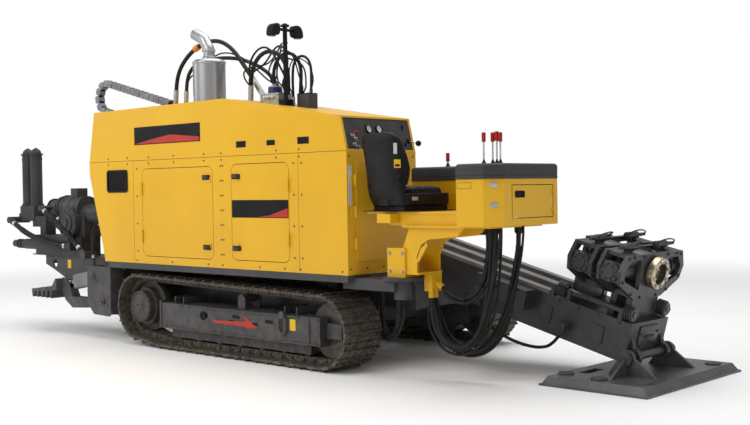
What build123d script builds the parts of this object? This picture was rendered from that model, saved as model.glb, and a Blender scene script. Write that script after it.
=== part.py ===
from build123d import *
import math
import os

# Horizontal directional drill on crawler tracks, in millimetres.
# Origin on the ground under the middle of its box, +X to the anchor plate, +Y to the machine's left.

# Undercarriage
track_half_width = 1100.0
shoe_width = 400.0
shoe_plate = 12.0
shoe_gap = 10.0
grouser_height = 18.0
grouser_width = 14.0
belt_thickness = 8.0
link_depth = 55.0
link_width = 150.0
shoe_count = 50
drive_x = -1030.0
drive_z = 352.0
drive_radius = 310.0
idler_x = 1340.0
idler_radius = 303.0
heel_x = -700.0
heel_radius = 240.0
running_clearance = 0.3
hub_radius = 143.0
hub_recess = 50.0
roller_radius = 47.0
roller_count = 7
roller_first_x = -560.0
roller_last_x = 1080.0
roller_width = 140.0
roller_axle_radius = 16.0
carrier_roller_x = 312.0
carrier_roller_radius = 40.0
track_frame_x0 = -699.0
track_frame_x1 = 1318.0
track_frame_z0 = 185.0
track_frame_z1 = 409.0
track_frame_outset = 40.0
track_frame_inset = 60.0
fork_end_x = 1480.0
fork_plate = 28.0
fork_gap = 60.0
guard_plate = 15.0
guard_depth = 80.0

# Chassis
main_beam_near_y0 = -265.0
main_beam_width = 130.0
main_beam_z0 = 420.0
main_beam_top = 690.0
floor_z0 = 690.0
floor_rail = 90.0
hood_bottom = 746.0
main_beam_x0 = -1700.0
main_beam_x1 = 1600.0
axle_beam_z0 = 262.0
axle_beam_z1 = 400.0
axle_beam_length = 150.0
front_axle_x = 925.0
rear_axle_x = -525.0
rear_beam_z0 = 480.0
rear_beam_z1 = 640.0
rear_beam_x0 = -1700.0
rear_beam_x1 = -1600.0

# Hood
hood_near_y = -1050.0
hood_width = 785.0
hood_wall = 25.0
hood_seam_z = 1678.0
hood_rear_bottom_x = -1589.0
hood_rear_low = (-1625.0, 897.0)
hood_rear_wide = (-1826.0, 1563.0)
hood_rear_top = (-1731.0, 2150.0)
hood_peak = (182.0, 2159.0)
hood_front_top = (1555.0, 1945.0)
hood_front_x = 1620.0
door_gap = 5.0
door_rear_box = (-972.0, 33.0, 817.0, 1597.0)
door_front_box = (283.0, 979.0, 822.0, 1607.0)
door_corner = 60.0
door_hinge_radius = 9.0
door_hinge_leaf = 3.0
door_hinge_length = 110.0
door_hinge_inset = 120.0
engine_size = (1150.0, 520.0, 700.0)
engine_centre_x = -560.0

# Mast, in its own axes: along the slide, across, and up from the slide's belly
mast_pivot_x = 1250.0
mast_pivot_z = 520.0
mast_tilt = 14.5
mast_centre_y = 160.0
mast_width = 520.0
mast_height = 288.0
mast_belly = 165.5
mast_front = 2148.0
mast_rear = -4400.0
mast_wall = 20.0
rail_width = 70.0
rail_height = 26.0
rail_front = 1440.0
drill_axis_height = 346.0
mast_ear_thickness = 40.0
mast_ear_inset = 40.0
mast_pin_radius = 35.0
pin_clearance = 0.5
nose_pin_u = 2182.0
nose_pin_w = 217.0
nose_pin_radius = 30.0
nose_ear_radius = 62.0
lift_ear_u = -1800.0
lift_ear_w = 100.0
lift_pin_radius = 26.0
lift_base_x = 600.0
lift_base_z = 380.0
lift_offset_y = 100.0
lift_barrel_radius = 50.0
lift_barrel_length = 950.0
lift_rod_radius = 28.0
lift_eye_width = 50.0
lift_rod_start = 820.0
lift_stroke = 110.0

# Anchor plate
anchor_x0 = 2946.0
anchor_x1 = 3790.0
anchor_y0 = -520.0
anchor_y1 = 868.0
anchor_rim = 14.0
anchor_top = 66.0
anchor_bevel = 32.0
anchor_cheek = 25.0
anchor_cheek_gap = 10.0
anchor_cheek_radius = 60.0
stake_hole_radius = 42.0
stake_holes = ((3050.0, -330.0), (3660.0, -330.0), (3050.0, 680.0), (3660.0, 680.0), (3350.0, 730.0), (3350.0, -380.0))

# Vises
vise_plate = 28.0
vise_half = 445.0
rear_vise_u0 = 1640.0
rear_vise_u1 = 1845.0
front_vise_u0 = 1885.0
front_vise_u1 = 2083.0
pedestal_u = 1585.0
pedestal_thickness = 30.0
vise_hub_radius = 125.0
vise_bore = 75.0
vise_clearance = 0.5
vise_cylinder_radius = 62.0
guide_ring_radius = 108.0
guide_ring_length = 62.0
guide_bar_radius = 22.0
guide_spring_radius = 45.0

# Drill head
head_u0 = -3250.0
head_u1 = -2350.0
head_width = 490.0
carriage_height = 150.0
gearbox_length = 480.0
spindle_radius = 62.0
spindle_length = 230.0
head_clearance = 0.3

# Drag chain beside the slide
chain_y0 = -190.0
chain_y1 = -112.0
chain_bend_u = -4450.0
chain_bend_radius = 150.0
chain_thickness = 70.0
chain_centre_w = 805.0
chain_upper_end_u = -3330.0
chain_lower_end_u = -1500.0

# Operator station
swing_x = 2020.0
swing_y = -890.0
swing_column_radius = 65.0
swing_column_z0 = 580.0
swing_flange_radius = 150.0
swing_flange_z0 = 722.0
swing_flange_z1 = 746.0
console_x0 = 2658.0
console_x1 = 2988.0
console_y0 = -1050.0
console_y1 = -320.0
console_z0 = 1125.0
console_z1 = 1445.0
console_wall = 15.0
console_chamfer = 100.0
cover_top = 1550.0
cover_lip = 12.0
arm_x0 = 1740.0
arm_y0 = -450.0
arm_z0 = 1235.0
seat_plate_z = 1222.0
seat_x = 1980.0
seat_y = -760.0
seat_turn = 75.0
seat_width = 450.0
lever_radius = 6.0
manifold_box = (2150.0, 2225.0, -800.0, -690.0, 640.0, 771.0)

# Rear outriggers
outrigger_inset = 50.0
outrigger_y0 = outrigger_inset - track_half_width
outrigger_bridge = 14.0
outrigger_width = 150.0
outrigger_plate = 22.0
outrigger_side_gap = 6.0
leg_pin = (-1645.0, 355.0)
barrel_pin = (-1807.0, 585.0)
rod_eye = (-2365.0, 491.0)
foot_tip = (-2865.0, 405.0)
leg_pin_radius = 24.0
outrigger_eye_half = 26.0
barrel_radius = 76.0
barrel_length = 400.0
outrigger_rod_radius = 25.0
leg_range = 25.0

# Mud pump on the rear deck
pump_y = -750.0
pipe_end_x = -3793.0
pipe_z = 850.0
pipe_radius = 39.0
damper_x = (-3330.0, -3496.0)
damper_radius = 62.0
damper_z0 = 1260.0
damper_z1 = 1820.0
deck_z = 756.0
deck_x0 = -3290.0

# Hoses: each has its radius and its route's points, from one fitting to the other
hose_ferrule = 50.0
hose_routes = {
    # Behind the silencer, over the roof
    "roof_hose_1": (19.0, ((-1040, -600, 2340), (-1028, -600, 2445), (-950, -600, 2570), (-795, -600, 2680),
                           (-590, -600, 2745), (-390, -600, 2740), (-215, -600, 2650), (-75, -600, 2505), (45, -600, 2370))),
    "roof_hose_2": (17.0, ((-970, -535, 2330), (-962, -535, 2430), (-905, -535, 2520),
                           (-800, -535, 2572), (-660, -535, 2592), (-450, -535, 2594), (-230, -535, 2570),
                           (-20, -535, 2510), (150, -535, 2430), (266, -535, 2337), (332, -535, 2242))),
    "roof_hose_3": (18.0, ((122, -680, 2290), (127, -680, 2392), (188, -680, 2500), (296, -680, 2564),
                           (420, -680, 2560), (527, -680, 2498), (588, -680, 2392), (596, -680, 2285),
                           (590, -680, 2180))),
    "roof_hose_4": (15.0, ((352, -622, 2290), (350, -622, 2352), (354, -622, 2418), (398, -622, 2493),
                           (474, -622, 2537), (564, -622, 2536), (641, -622, 2490), (686, -622, 2413),
                           (690, -622, 2330), (682, -622, 2240), (672, -622, 2150))),
    "roof_hose_5": (11.0, ((627, -655, 2160), (624, -655, 2224), (622, -655, 2290), (624, -655, 2354),
                           (630, -655, 2414), (656, -654, 2464), (704, -653, 2492), (759, -652, 2490),
                           (806, -651, 2460), (834, -650, 2408), (840, -650, 2345), (839, -650, 2282),
                           (836, -650, 2215))),
    # From the pump to the tail's fittings
    "pump_hose_1": (26.0, ((-3560, -900, 1085), (-3400, -900, 1012), (-3215, -900, 952), (-3020, -900, 908),
                           (-2820, -900, 878), (-2640, -900, 863), (-2480, -900, 857))),
    "pump_hose_2": (22.0, ((-2890, -930, 1222), (-2755, -930, 1160), (-2610, -930, 1080), (-2450, -930, 992),
                           (-2310, -930, 900), (-2190, -930, 815))),
    "outrigger_hose_1": (11.0, ((-1870, outrigger_y0 + 50, 745), (-1876, outrigger_y0 + 50, 830),
                                (-1886, outrigger_y0 + 58, 915), (-1892, outrigger_y0 + 80, 1000),
                                (-1890, outrigger_y0 + 120, 1070), (-1884, outrigger_y0 + 180, 1120))),
    # From the manifold at the knuckle up to the console
    "station_hose_1": (18.0, ((2275, -740, 668), (2365, -740, 612), (2465, -740, 592), (2560, -740, 625),
                              (2630, -740, 705), (2675, -740, 815), (2697, -740, 940), (2700, -740, 1075))),
    "station_hose_2": (18.0, ((2185, -760, 590), (2188, -760, 478), (2222, -760, 355), (2305, -760, 262),
                              (2428, -760, 230), (2545, -760, 265), (2632, -760, 355), (2690, -760, 480),
                              (2728, -760, 630), (2752, -760, 785), (2768, -760, 935), (2771, -760, 1075))),
    "station_hose_3": (17.0, ((2185, -714, 590), (2188, -711, 478), (2216, -703, 350), (2296, -685, 248),
                              (2418, -660, 200), (2545, -640, 222), (2650, -622, 305), (2730, -612, 425),
                              (2785, -606, 575), (2822, -602, 740), (2846, -600, 910), (2850, -600, 1075))),
    "belly_hose_1": (15.0, ((1930, -830, 590), (1928, -825, 485), (1895, -805, 370), (1812, -765, 285),
                            (1705, -710, 262), (1612, -662, 305), (1562, -625, 395), (1548, -605, 490),
                            (1548, -600, 590))),
}
# In the mast's own axes
mast_hose_radius = 12.0
mast_hose_route = ((900, -165, 250), (903, -165, 165), (960, -165, 90), (1080, -165, 48), (1230, -165, 30),
                   (1380, -165, 34), (1510, -165, 62), (1600, -165, 120), (1640, -165, 210))

os.makedirs("parts", exist_ok=True)


def block(x0, x1, y0, y1, z0, z1):
    size = (abs(x1 - x0), abs(y1 - y0), abs(z1 - z0))
    return Pos((x0 + x1) / 2, (y0 + y1) / 2, (z0 + z1) / 2) * Box(*size)


def rod(start, end, radius):
    a = Vector(*start)
    b = Vector(*end)
    plane = Plane(origin=a, z_dir=b - a)
    return Solid.make_cylinder(radius, (b - a).length, plane)


def side_plate(points, y0, y1):
    # An outline in X and Z, as thick as y0 to y1
    face = make_face(Polyline(*[(x, 0, z) for x, z in points], close=True))
    plate = extrude(face, amount=abs(y1 - y0), dir=(0, 1, 0))
    return Pos(0, min(y0, y1), 0) * plate


def cross_plate(points, x0, x1):
    # An outline in Y and Z, as thick as x0 to x1
    face = make_face(Polyline(*[(0, y, z) for y, z in points], close=True))
    plate = extrude(face, amount=abs(x1 - x0), dir=(1, 0, 0))
    return Pos(min(x0, x1), 0, 0) * plate


def flat_plate(points, z0, z1):
    # An outline in X and Y, as thick as z0 to z1
    face = make_face(Polyline(*[(x, y, 0) for x, y in points], close=True))
    plate = extrude(face, amount=abs(z1 - z0), dir=(0, 0, 1))
    return Pos(0, 0, min(z0, z1)) * plate


def fused(pieces):
    total = pieces[0]
    for piece in pieces[1:]:
        total = total + piece
    return total


def mirrored(shape):
    return mirror(shape, about=Plane.XZ)


def write(name, shape):
    shape.label = name
    export_step(shape, "parts/" + name + ".step")


# The mast's own axes, set at its pivot and tipped nose down
mast_place = Location((mast_pivot_x, 0, mast_pivot_z), (0, mast_tilt, 0))
mast_y0 = mast_centre_y - mast_width / 2
mast_y1 = mast_centre_y + mast_width / 2
mast_deck = mast_belly + mast_height
drill_w = mast_deck + drill_axis_height
main_beam_far_y0 = mast_y1 + 35
main_beam_near_y1 = main_beam_near_y0 + main_beam_width
main_beam_far_y1 = main_beam_far_y0 + main_beam_width
track_inner_y = track_half_width - shoe_width
track_centre_y = track_half_width - shoe_width / 2
hood_far_y = hood_near_y + hood_width


def hose(name, radius, points):
    # A tube of straight runs joined by arcs, each arc as large as its two runs allow
    corners = [Vector(*point) for point in points]
    radii = []
    for before, corner, after in zip(corners, corners[1:], corners[2:]):
        turn = math.radians((corner - before).get_angle(after - corner))
        shorter = min((corner - before).length, (after - corner).length)
        radii.append(0.45 * shorter / math.tan(turn / 2))
    path = FilletPolyline(*corners, radius=radii)
    tube = sweep(Plane(origin=corners[0], z_dir=corners[1] - corners[0]) * Circle(radius), path=path)
    share = tube.volume / (math.pi * radius ** 2 * path.length)
    print(name, "length", round(path.length), "smallest radius", round(min(radii)), "volume share", round(share, 4))
    return tube


def ferrule(name, end, depth):
    # The fitting that a hose's end meets face to face, in line with the hose
    radius, points = hose_routes[name]
    tip, beside = (points[-1], points[-2]) if end else (points[0], points[1])
    tip = Vector(*tip)
    outward = (tip - Vector(*beside)).normalized()
    far = tip + outward * depth
    return rod((tip.X, tip.Y, tip.Z), (far.X, far.Y, far.Z), radius * 1.25)


# Track loop round the drive sprocket, the idler and the heel of the ground run
def belt_segments(inset):
    wheels = [
        # x, z, radius, in order round the loop
        (drive_x, drive_z, drive_radius - inset),
        (idler_x, idler_radius, idler_radius - inset),
        (heel_x, heel_radius, heel_radius - inset),
    ]
    tangents = []
    for i, (x0, z0, r0) in enumerate(wheels):
        x1, z1, r1 = wheels[(i + 1) % len(wheels)]
        run = math.hypot(x1 - x0, z1 - z0)
        heading = math.atan2(z1 - z0, x1 - x0)
        normal = heading + math.pi / 2 + math.asin((r1 - r0) / run)
        start = (x0 + r0 * math.cos(normal), z0 + r0 * math.sin(normal))
        end = (x1 + r1 * math.cos(normal), z1 + r1 * math.sin(normal))
        tangents.append((start, end, normal))
    segments = []
    for i, (start, end, normal) in enumerate(tangents):
        x1, z1, r1 = wheels[(i + 1) % len(wheels)]
        turn = (normal - tangents[(i + 1) % len(tangents)][2]) % (2 * math.pi)
        segments.append(("line", start, end))
        segments.append(("arc", (x1, z1), r1, normal, turn))
    return segments


def belt_outline(inset):
    edges = []
    for segment in belt_segments(inset):
        if segment[0] == "line":
            (x0, z0), (x1, z1) = segment[1:]
            edges.append(Line((x0, 0, z0), (x1, 0, z1)))
        else:
            (x, z), r, begin, turn = segment[1:]
            arc_points = []
            for share in (0.0, 0.5, 1.0):
                a = begin - share * turn
                arc_points.append((x + r * math.cos(a), 0, z + r * math.sin(a)))
            edges.append(ThreePointArc(*arc_points))
    return make_face(edges)


def belt_places(inset, count):
    # Evenly spaced places round the loop: x, z and the outward direction's angle
    segments = belt_segments(inset)
    lengths = []
    for segment in segments:
        if segment[0] == "line":
            (x0, z0), (x1, z1) = segment[1:]
            lengths.append(math.hypot(x1 - x0, z1 - z0))
        else:
            lengths.append(segment[2] * segment[4])
    pitch = sum(lengths) / count
    places = []
    for i in range(count):
        s = (i + 0.5) * pitch
        k = 0
        while s > lengths[k]:
            s -= lengths[k]
            k += 1
        segment = segments[k]
        if segment[0] == "line":
            (x0, z0), (x1, z1) = segment[1:]
            share = s / lengths[k]
            outward = math.atan2(z1 - z0, x1 - x0) + math.pi / 2
            places.append((x0 + share * (x1 - x0), z0 + share * (z1 - z0), outward))
        else:
            (x, z), r, begin, turn = segment[1:]
            outward = begin - s / r
            places.append((x + r * math.cos(outward), z + r * math.sin(outward), outward))
    return places, pitch


def track():
    shoe_inset = grouser_height + shoe_plate
    places, pitch = belt_places(shoe_inset, shoe_count)
    half = (pitch - shoe_gap) / 2
    bar0 = -grouser_width / 2
    bar1 = grouser_width / 2
    tip = shoe_plate + grouser_height
    profile = [(-half, 0), (-half, shoe_plate), (bar0, shoe_plate), (bar0, tip)]
    profile += [(bar1, tip), (bar1, shoe_plate), (half, shoe_plate), (half, 0)]
    points = []
    for x, z, outward in places:
        along = outward - math.pi / 2
        for a, h in profile:
            px = x + a * math.cos(along) + h * math.cos(outward)
            pz = z + a * math.sin(along) + h * math.sin(outward)
            points.append((px, 0, pz))
    shoes = make_face(Polyline(*points, close=True)) - belt_outline(shoe_inset + belt_thickness)
    links_outer = belt_outline(shoe_inset + belt_thickness - 2)
    links = links_outer - belt_outline(shoe_inset + link_depth)
    shoe_ring = Pos(0, -track_half_width, 0) * extrude(shoes, amount=shoe_width, dir=(0, 1, 0))
    link_y = -track_centre_y - link_width / 2
    link_ring = Pos(0, link_y, 0) * extrude(links, amount=link_width, dir=(0, 1, 0))
    return shoe_ring + link_ring


def track_wheels():
    inside = grouser_height + shoe_plate + link_depth + running_clearance
    y = -track_centre_y
    half = roller_width / 2
    inner_plate_y = -track_inner_y - track_frame_inset
    wheels = []
    sprocket_radius = drive_radius - inside
    sprocket = rod((drive_x, y - 30, drive_z), (drive_x, y + 30, drive_z), sprocket_radius)
    hub = rod((drive_x, -track_half_width + hub_recess, drive_z), (drive_x, inner_plate_y - 20, drive_z), hub_radius)
    rim = rod((drive_x, y - 90, drive_z), (drive_x, inner_plate_y - 20, drive_z), hub_radius + 25)
    wheels.append(sprocket + hub + rim)
    idler_z = idler_radius
    idler = rod((idler_x, y - 45, idler_z), (idler_x, y + 45, idler_z), idler_radius - inside)
    idler = idler + rod((idler_x, y - fork_gap, idler_z), (idler_x, y + fork_gap, idler_z), 55)
    wheels.append(idler)
    roller_z = inside + roller_radius
    step = (roller_last_x - roller_first_x) / (roller_count - 1)
    guard_y = half + 12
    for i in range(roller_count):
        x = roller_first_x + i * step
        roller = rod((x, y - half, roller_z), (x, y + half, roller_z), roller_radius)
        axle = rod((x, y - guard_y, roller_z), (x, y + guard_y, roller_z), roller_axle_radius)
        wheels.append(roller + axle)
    share = (carrier_roller_x - drive_x) / (idler_x - drive_x)
    top_z = (1 - share) * (drive_z + drive_radius) + share * 2 * idler_radius
    carrier_z = top_z - inside - carrier_roller_radius - 1
    x = carrier_roller_x
    carrier = rod((x, y - 60, carrier_z), (x, y + 60, carrier_z), carrier_roller_radius)
    wheels.append(carrier + rod((x, y - 74, carrier_z), (x, y + 74, carrier_z), roller_axle_radius))
    return wheels, carrier_z


def track_frame(carrier_z):
    y0 = -track_half_width + track_frame_outset
    y1 = -track_inner_y - track_frame_inset
    y = -track_centre_y
    pieces = [block(track_frame_x0, track_frame_x1, y0, y1, track_frame_z0, track_frame_z1)]
    pieces.append(block(track_frame_x0 - 20, track_frame_x0, y0 - 8, y1, track_frame_z0, track_frame_z1 + 20))
    # Motor bracket behind the frame, on its inner side
    pieces.append(side_plate([(drive_x - 150, 250), (track_frame_x0, 200), (track_frame_x0, 400), (drive_x - 150, 460)], y1 - 20, y1))
    # Fork that holds the idler's shaft
    for side in (-1, 1):
        fork_y = y + side * (fork_gap + fork_plate / 2)
        z0 = idler_radius - 60
        z1 = idler_radius + 60
        pieces.append(block(track_frame_x1 - 40, fork_end_x, fork_y - fork_plate / 2, fork_y + fork_plate / 2, z0, z1))
    # Roller guards under the frame
    for side in (-1, 1):
        guard_y = y + side * (roller_width / 2 + 12 + guard_plate / 2)
        x0 = roller_first_x - 70
        x1 = roller_last_x + 70
        z0 = track_frame_z0 - guard_depth
        pieces.append(block(x0, x1, guard_y - guard_plate / 2, guard_y + guard_plate / 2, z0, track_frame_z0 + 1))
    # Carrier roller bracket and stiffeners on top of the frame
    for side in (-1, 1):
        plate_y = y + side * (74 + 8)
        x = carrier_roller_x
        outline = [(x - 45, track_frame_z1 - 1), (x + 45, track_frame_z1 - 1), (x + 45, carrier_z)]
        outline += [(x + 15, carrier_z + 25), (x - 15, carrier_z + 25), (x - 45, carrier_z)]
        pieces.append(side_plate(outline, plate_y - 8, plate_y + 8))
    for x in (-560.0, -440.0, 870.0, 1010.0):
        pieces.append(block(x, x + 12, y0 + 40, y1, track_frame_z1 - 1, track_frame_z1 + 60))
    frame = fused(pieces)
    frame -= block(idler_x - idler_radius + 70, fork_end_x + 1, y - fork_gap, y + fork_gap, 0, 600)
    frame -= rod((-75, y0 - 1, 334), (-75, y0 + 30, 334), 26)
    for x in (230.0, 520.0):
        frame -= block(x, x + 80, y0 - 1, y0 + 20, 296, 318)
    return frame


def outrigger_cheeks():
    # Two plates that carry the leg's pin and the cylinder's pin, with the pins
    pieces = []
    inner_y0 = outrigger_y0 + outrigger_plate
    inner_y1 = outrigger_y0 + outrigger_width - outrigger_plate
    outline = [(-1908, 690), (-1908, 330), (-1800, 230), (-1560, 222), (-1515, 260), (-1515, 690)]
    for y0, y1 in ((outrigger_y0, inner_y0), (inner_y1, inner_y1 + outrigger_plate)):
        pieces.append(side_plate(outline, y0, y1))
    pieces.append(block(-1700, -1600, inner_y0 - 1, inner_y1 + 1, rear_beam_z0 + 20, rear_beam_z1))
    pieces.append(block(-1545, -1515, inner_y0 - 1, inner_y1 + 1, 240, 690))
    pieces.append(block(-1908, -1830, inner_y0 - 1, inner_y1 + 1, 690 - outrigger_bridge, 690))
    for x, z in (leg_pin, barrel_pin):
        pieces.append(rod((x, outrigger_y0 - 8, z), (x, inner_y1 + outrigger_plate + 4, z), leg_pin_radius))
    return fused(pieces)


def chassis_frame():
    pieces = []
    for y0, y1 in ((main_beam_near_y0, main_beam_near_y1), (main_beam_far_y0, main_beam_far_y1)):
        pieces.append(block(main_beam_x0, main_beam_x1, y0, y1, main_beam_z0, main_beam_top))
    reach = track_inner_y + track_frame_inset
    for x in (front_axle_x, rear_axle_x):
        pieces.append(block(x - axle_beam_length / 2, x + axle_beam_length / 2, -reach, reach, axle_beam_z0, axle_beam_z1))
        for y0, y1 in ((main_beam_near_y0, main_beam_near_y1), (main_beam_far_y0, main_beam_far_y1)):
            pieces.append(block(x - axle_beam_length / 2, x + axle_beam_length / 2, y0, y1, axle_beam_z0, main_beam_z0 + 1))
    # Rear cross beam, notched under the mast, and the front cross beam
    outer = -outrigger_y0 - outrigger_width + 5
    pieces.append(block(rear_beam_x0, rear_beam_x1, -outer, outer, rear_beam_z0, rear_beam_z1))
    pieces.append(block(1480, 1560, main_beam_near_y0, main_beam_far_y1, 420, 560))
    # Side deck frame on the far side
    pieces.append(block(-1400, 1300, main_beam_far_y1 - 1, track_inner_y - 20, main_beam_top - 50, main_beam_top))
    # Mast pin and lift pin across the two main beams
    for x, z, radius in ((mast_pivot_x, mast_pivot_z, mast_pin_radius), (lift_base_x, lift_base_z, lift_pin_radius)):
        pieces.append(rod((x, main_beam_near_y1 - 5, z), (x, main_beam_far_y0 + 5, z), radius))
    # Boxes that hold the lift pin under the main beams
    pieces.append(block(lift_base_x - 60, lift_base_x + 60, main_beam_near_y0, main_beam_near_y1, lift_base_z - 60,
                        main_beam_z0 + 1))
    pieces.append(block(lift_base_x - 60, lift_base_x + 60, main_beam_far_y0, main_beam_far_y1, lift_base_z - 60,
                        main_beam_z0 + 1))
    # Column for the operator station, on an arm in front of the hood
    arm_half = 95
    pieces.append(block(1500, swing_x, swing_y - arm_half, swing_y + arm_half, 640, swing_flange_z0 + 1))
    pieces.append(block(1500, 1600, swing_y - arm_half, main_beam_near_y1, 640, floor_z0))
    pieces.append(rod((swing_x, swing_y, swing_column_z0), (swing_x, swing_y, swing_flange_z1), swing_column_radius))
    pieces.append(rod((swing_x, swing_y, swing_flange_z0), (swing_x, swing_y, swing_flange_z1), swing_flange_radius))
    # Rear deck side plates, behind the hood
    deck_side = [(-3050, 745), (-3050, 655), (-2880, 600), (-2610, 500), (-1650, 500), (-1650, 746)]
    for y0 in (-820.0, -520.0):
        pieces.append(side_plate(deck_side, y0, y0 + 18))
    pieces.append(block(-3050, -3034, -803, -519, 655, 745))
    pieces.append(block(-1900, -1600, -820, -502, 600, 690))
    pieces.append(ferrule("belly_hose_1", 0, hose_ferrule + 1))
    pieces.append(ferrule("belly_hose_1", 1, hose_ferrule + 1))
    pieces.append(ferrule("outrigger_hose_1", 0, 60))
    frame = fused(pieces)
    for side in (0, 1):
        cheeks = outrigger_cheeks()
        frame += mirrored(cheeks) if side else cheeks
    frame -= rod((-2870, -830, 668), (-2870, -790, 668), 42)
    return frame


def hood_floor():
    # Floor frame under the hood, with posts from the axle beams inside the tracks
    x0 = hood_rear_bottom_x + 45
    x1 = hood_front_x - 8
    floor = block(x0, x1, hood_near_y + 4, main_beam_near_y1, floor_z0, hood_bottom)
    bays = ((x0 + floor_rail, -500), (-410, 560), (650, x1 - floor_rail))
    for bay_x0, bay_x1 in bays:
        floor -= block(bay_x0, bay_x1, hood_near_y + floor_rail, main_beam_near_y0 - 40, floor_z0 - 1, hood_bottom + 1)
    for x in (front_axle_x, rear_axle_x):
        floor += block(x - 60, x + 60, -640, -540, axle_beam_z1, floor_z0 + 1)
    # Seats for the swing column's arm and the outriggers' cheeks, which reach up into the floor
    floor -= block(1490, 1620, swing_y - 95, swing_y + 95, 600, swing_flange_z0 + 1)
    floor -= block(-1915, -1500, hood_near_y - 1, -890, 600, 690)
    return floor


# Hood: a hollow shell split at its seam, with two doors in the near side
def hood_outline(inset):
    corners = [
        (hood_rear_bottom_x + inset, hood_bottom),
        (hood_rear_low[0] + inset, hood_rear_low[1]),
        (hood_rear_wide[0] + inset, hood_rear_wide[1]),
        (hood_rear_wide[0] + inset, hood_seam_z),
        (hood_rear_top[0] + inset, hood_rear_top[1] - inset),
        (hood_peak[0], hood_peak[1] - inset),
        (hood_front_top[0] - inset, hood_front_top[1] - inset),
        (hood_front_x - inset, hood_seam_z),
        (hood_front_x - inset, hood_bottom),
    ]
    return corners


def door_axis(box, front):
    # The hinge's axis just outside the panel, in the middle of the gap
    x = box[1] + door_gap / 2 if front else box[0] - door_gap / 2
    return x, hood_near_y - door_hinge_radius


def hinge_places(box):
    return (box[2] + door_hinge_inset, box[3] - door_hinge_inset - door_hinge_length)


def hood_shell():
    outer = side_plate(hood_outline(0), hood_near_y, hood_far_y)
    inner = side_plate(hood_outline(hood_wall), hood_near_y + hood_wall, hood_far_y - hood_wall)
    inner += block(hood_rear_bottom_x + hood_wall + 30, hood_front_x - hood_wall, hood_near_y + hood_wall,
                   hood_far_y - hood_wall, hood_bottom - 10, hood_bottom + 60)
    shell = outer - inner
    for box in (door_rear_box, door_front_box):
        x0, x1, z0, z1 = box
        hole = block(x0 - door_gap, x1 + door_gap, hood_near_y - 1, hood_near_y + hood_wall + 1,
                     z0 - door_gap, z1 + door_gap)
        shell -= fillet(hole.edges().filter_by(Axis.Y), door_corner + door_gap)
    lower = shell & block(-2500, 2500, -2000, 2000, hood_bottom - 1, hood_seam_z)
    upper = shell & block(-2500, 2500, -2000, 2000, hood_seam_z, 2500)
    for box, front in ((door_rear_box, False), (door_front_box, True)):
        x, y = door_axis(box, front)
        side = 1 if front else -1
        for z in hinge_places(box):
            part = door_hinge_length / 3
            for z0 in (z, z + 2 * part):
                lower += rod((x, y, z0), (x, y, z0 + part - 1), door_hinge_radius)
                leaf_x = sorted((x, x + side * 34))
                lower += block(leaf_x[0], leaf_x[1], hood_near_y - door_hinge_leaf, hood_near_y, z0, z0 + part - 1)
    # Front opening for the dash panel, along the slope of the upper front
    upper -= dash_slab(0.0, -hood_wall - 6, 4)
    return lower, upper


def dash_slab(gap, depth0, depth1):
    run_x = hood_front_top[0] - hood_front_x
    run_z = hood_front_top[1] - hood_seam_z
    length = math.hypot(run_x, run_z)
    tx, tz = run_x / length, run_z / length
    nx, nz = tz, -tx
    s0, s1 = 14 + gap, length - 14 - gap
    points = []
    for s, d in ((s0, depth0), (s1, depth0), (s1, depth1), (s0, depth1)):
        points.append((hood_front_x + tx * s + nx * d, hood_seam_z + tz * s + nz * d))
    return side_plate(points, hood_near_y + 22 + gap, hood_far_y - 22 - gap)


def hood_door(box, front):
    x0, x1, z0, z1 = box
    panel = block(x0, x1, hood_near_y, hood_near_y + hood_wall, z0, z1)
    panel = fillet(panel.edges().filter_by(Axis.Y), door_corner)
    x, y = door_axis(box, front)
    side = -1 if front else 1
    for z in hinge_places(box):
        part = door_hinge_length / 3
        panel += rod((x, y, z + part), (x, y, z + 2 * part - 1), door_hinge_radius)
        leaf_x = sorted((x, x + side * 40))
        panel += block(leaf_x[0], leaf_x[1], hood_near_y - door_hinge_leaf, hood_near_y + 1, z + part, z + 2 * part - 1)
    latch_x = x0 + 55 if front else x1 - 55
    for z in (z0 + 110, z1 - 110):
        panel += block(latch_x - 35, latch_x + 35, hood_near_y - 8, hood_near_y + 1, z - 22, z + 22)
    return panel


def on_roof(shape):
    # What stands on the roof is cut to the roof's slope
    return shape - side_plate(hood_outline(0), hood_near_y, hood_far_y)


def muffler():
    x, y = -230.0, -850.0
    roof = hood_rear_top[1]
    body = rod((x, y, roof + 50), (x, y, roof + 380), 140)
    body = chamfer(body.edges().filter_by(GeomType.CIRCLE), 18)
    neck = rod((x, y, roof), (x, y, roof + 60), 70)
    foot = rod((x, y, roof), (x, y, roof + 12), 105)
    bends = ((x, y, roof + 350), (x, y, roof + 470), (x - 70, y, roof + 570), (x - 190, y, roof + 625))
    path = FilletPolyline(*bends, radius=60)
    outlet = sweep(Plane(origin=bends[0], z_dir=(0, 0, 1)) * Circle(50), path=path)
    return on_roof(fused([body, neck, foot, outlet]))


def lamp_mast():
    x, y = 640.0, -750.0
    roof = hood_top_z(x)
    pieces = [rod((x, y, roof - 30), (x, y, 2700), 18)]
    pieces.append(block(x - 44, x + 44, y - 44, y + 44, roof - 30, roof + 20))
    pieces.append(rod((x, y - 130, 2690), (x, y + 130, 2690), 14))
    for side in (-1, 1):
        lamp_y = y + side * 95
        lamp = block(x + 5, x + 95, lamp_y - 62, lamp_y + 62, 2655, 2745)
        hood = block(x + 90, x + 130, lamp_y - 66, lamp_y + 66, 2740, 2750)
        pieces += [lamp, hood]
    return on_roof(fused(pieces))


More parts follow.
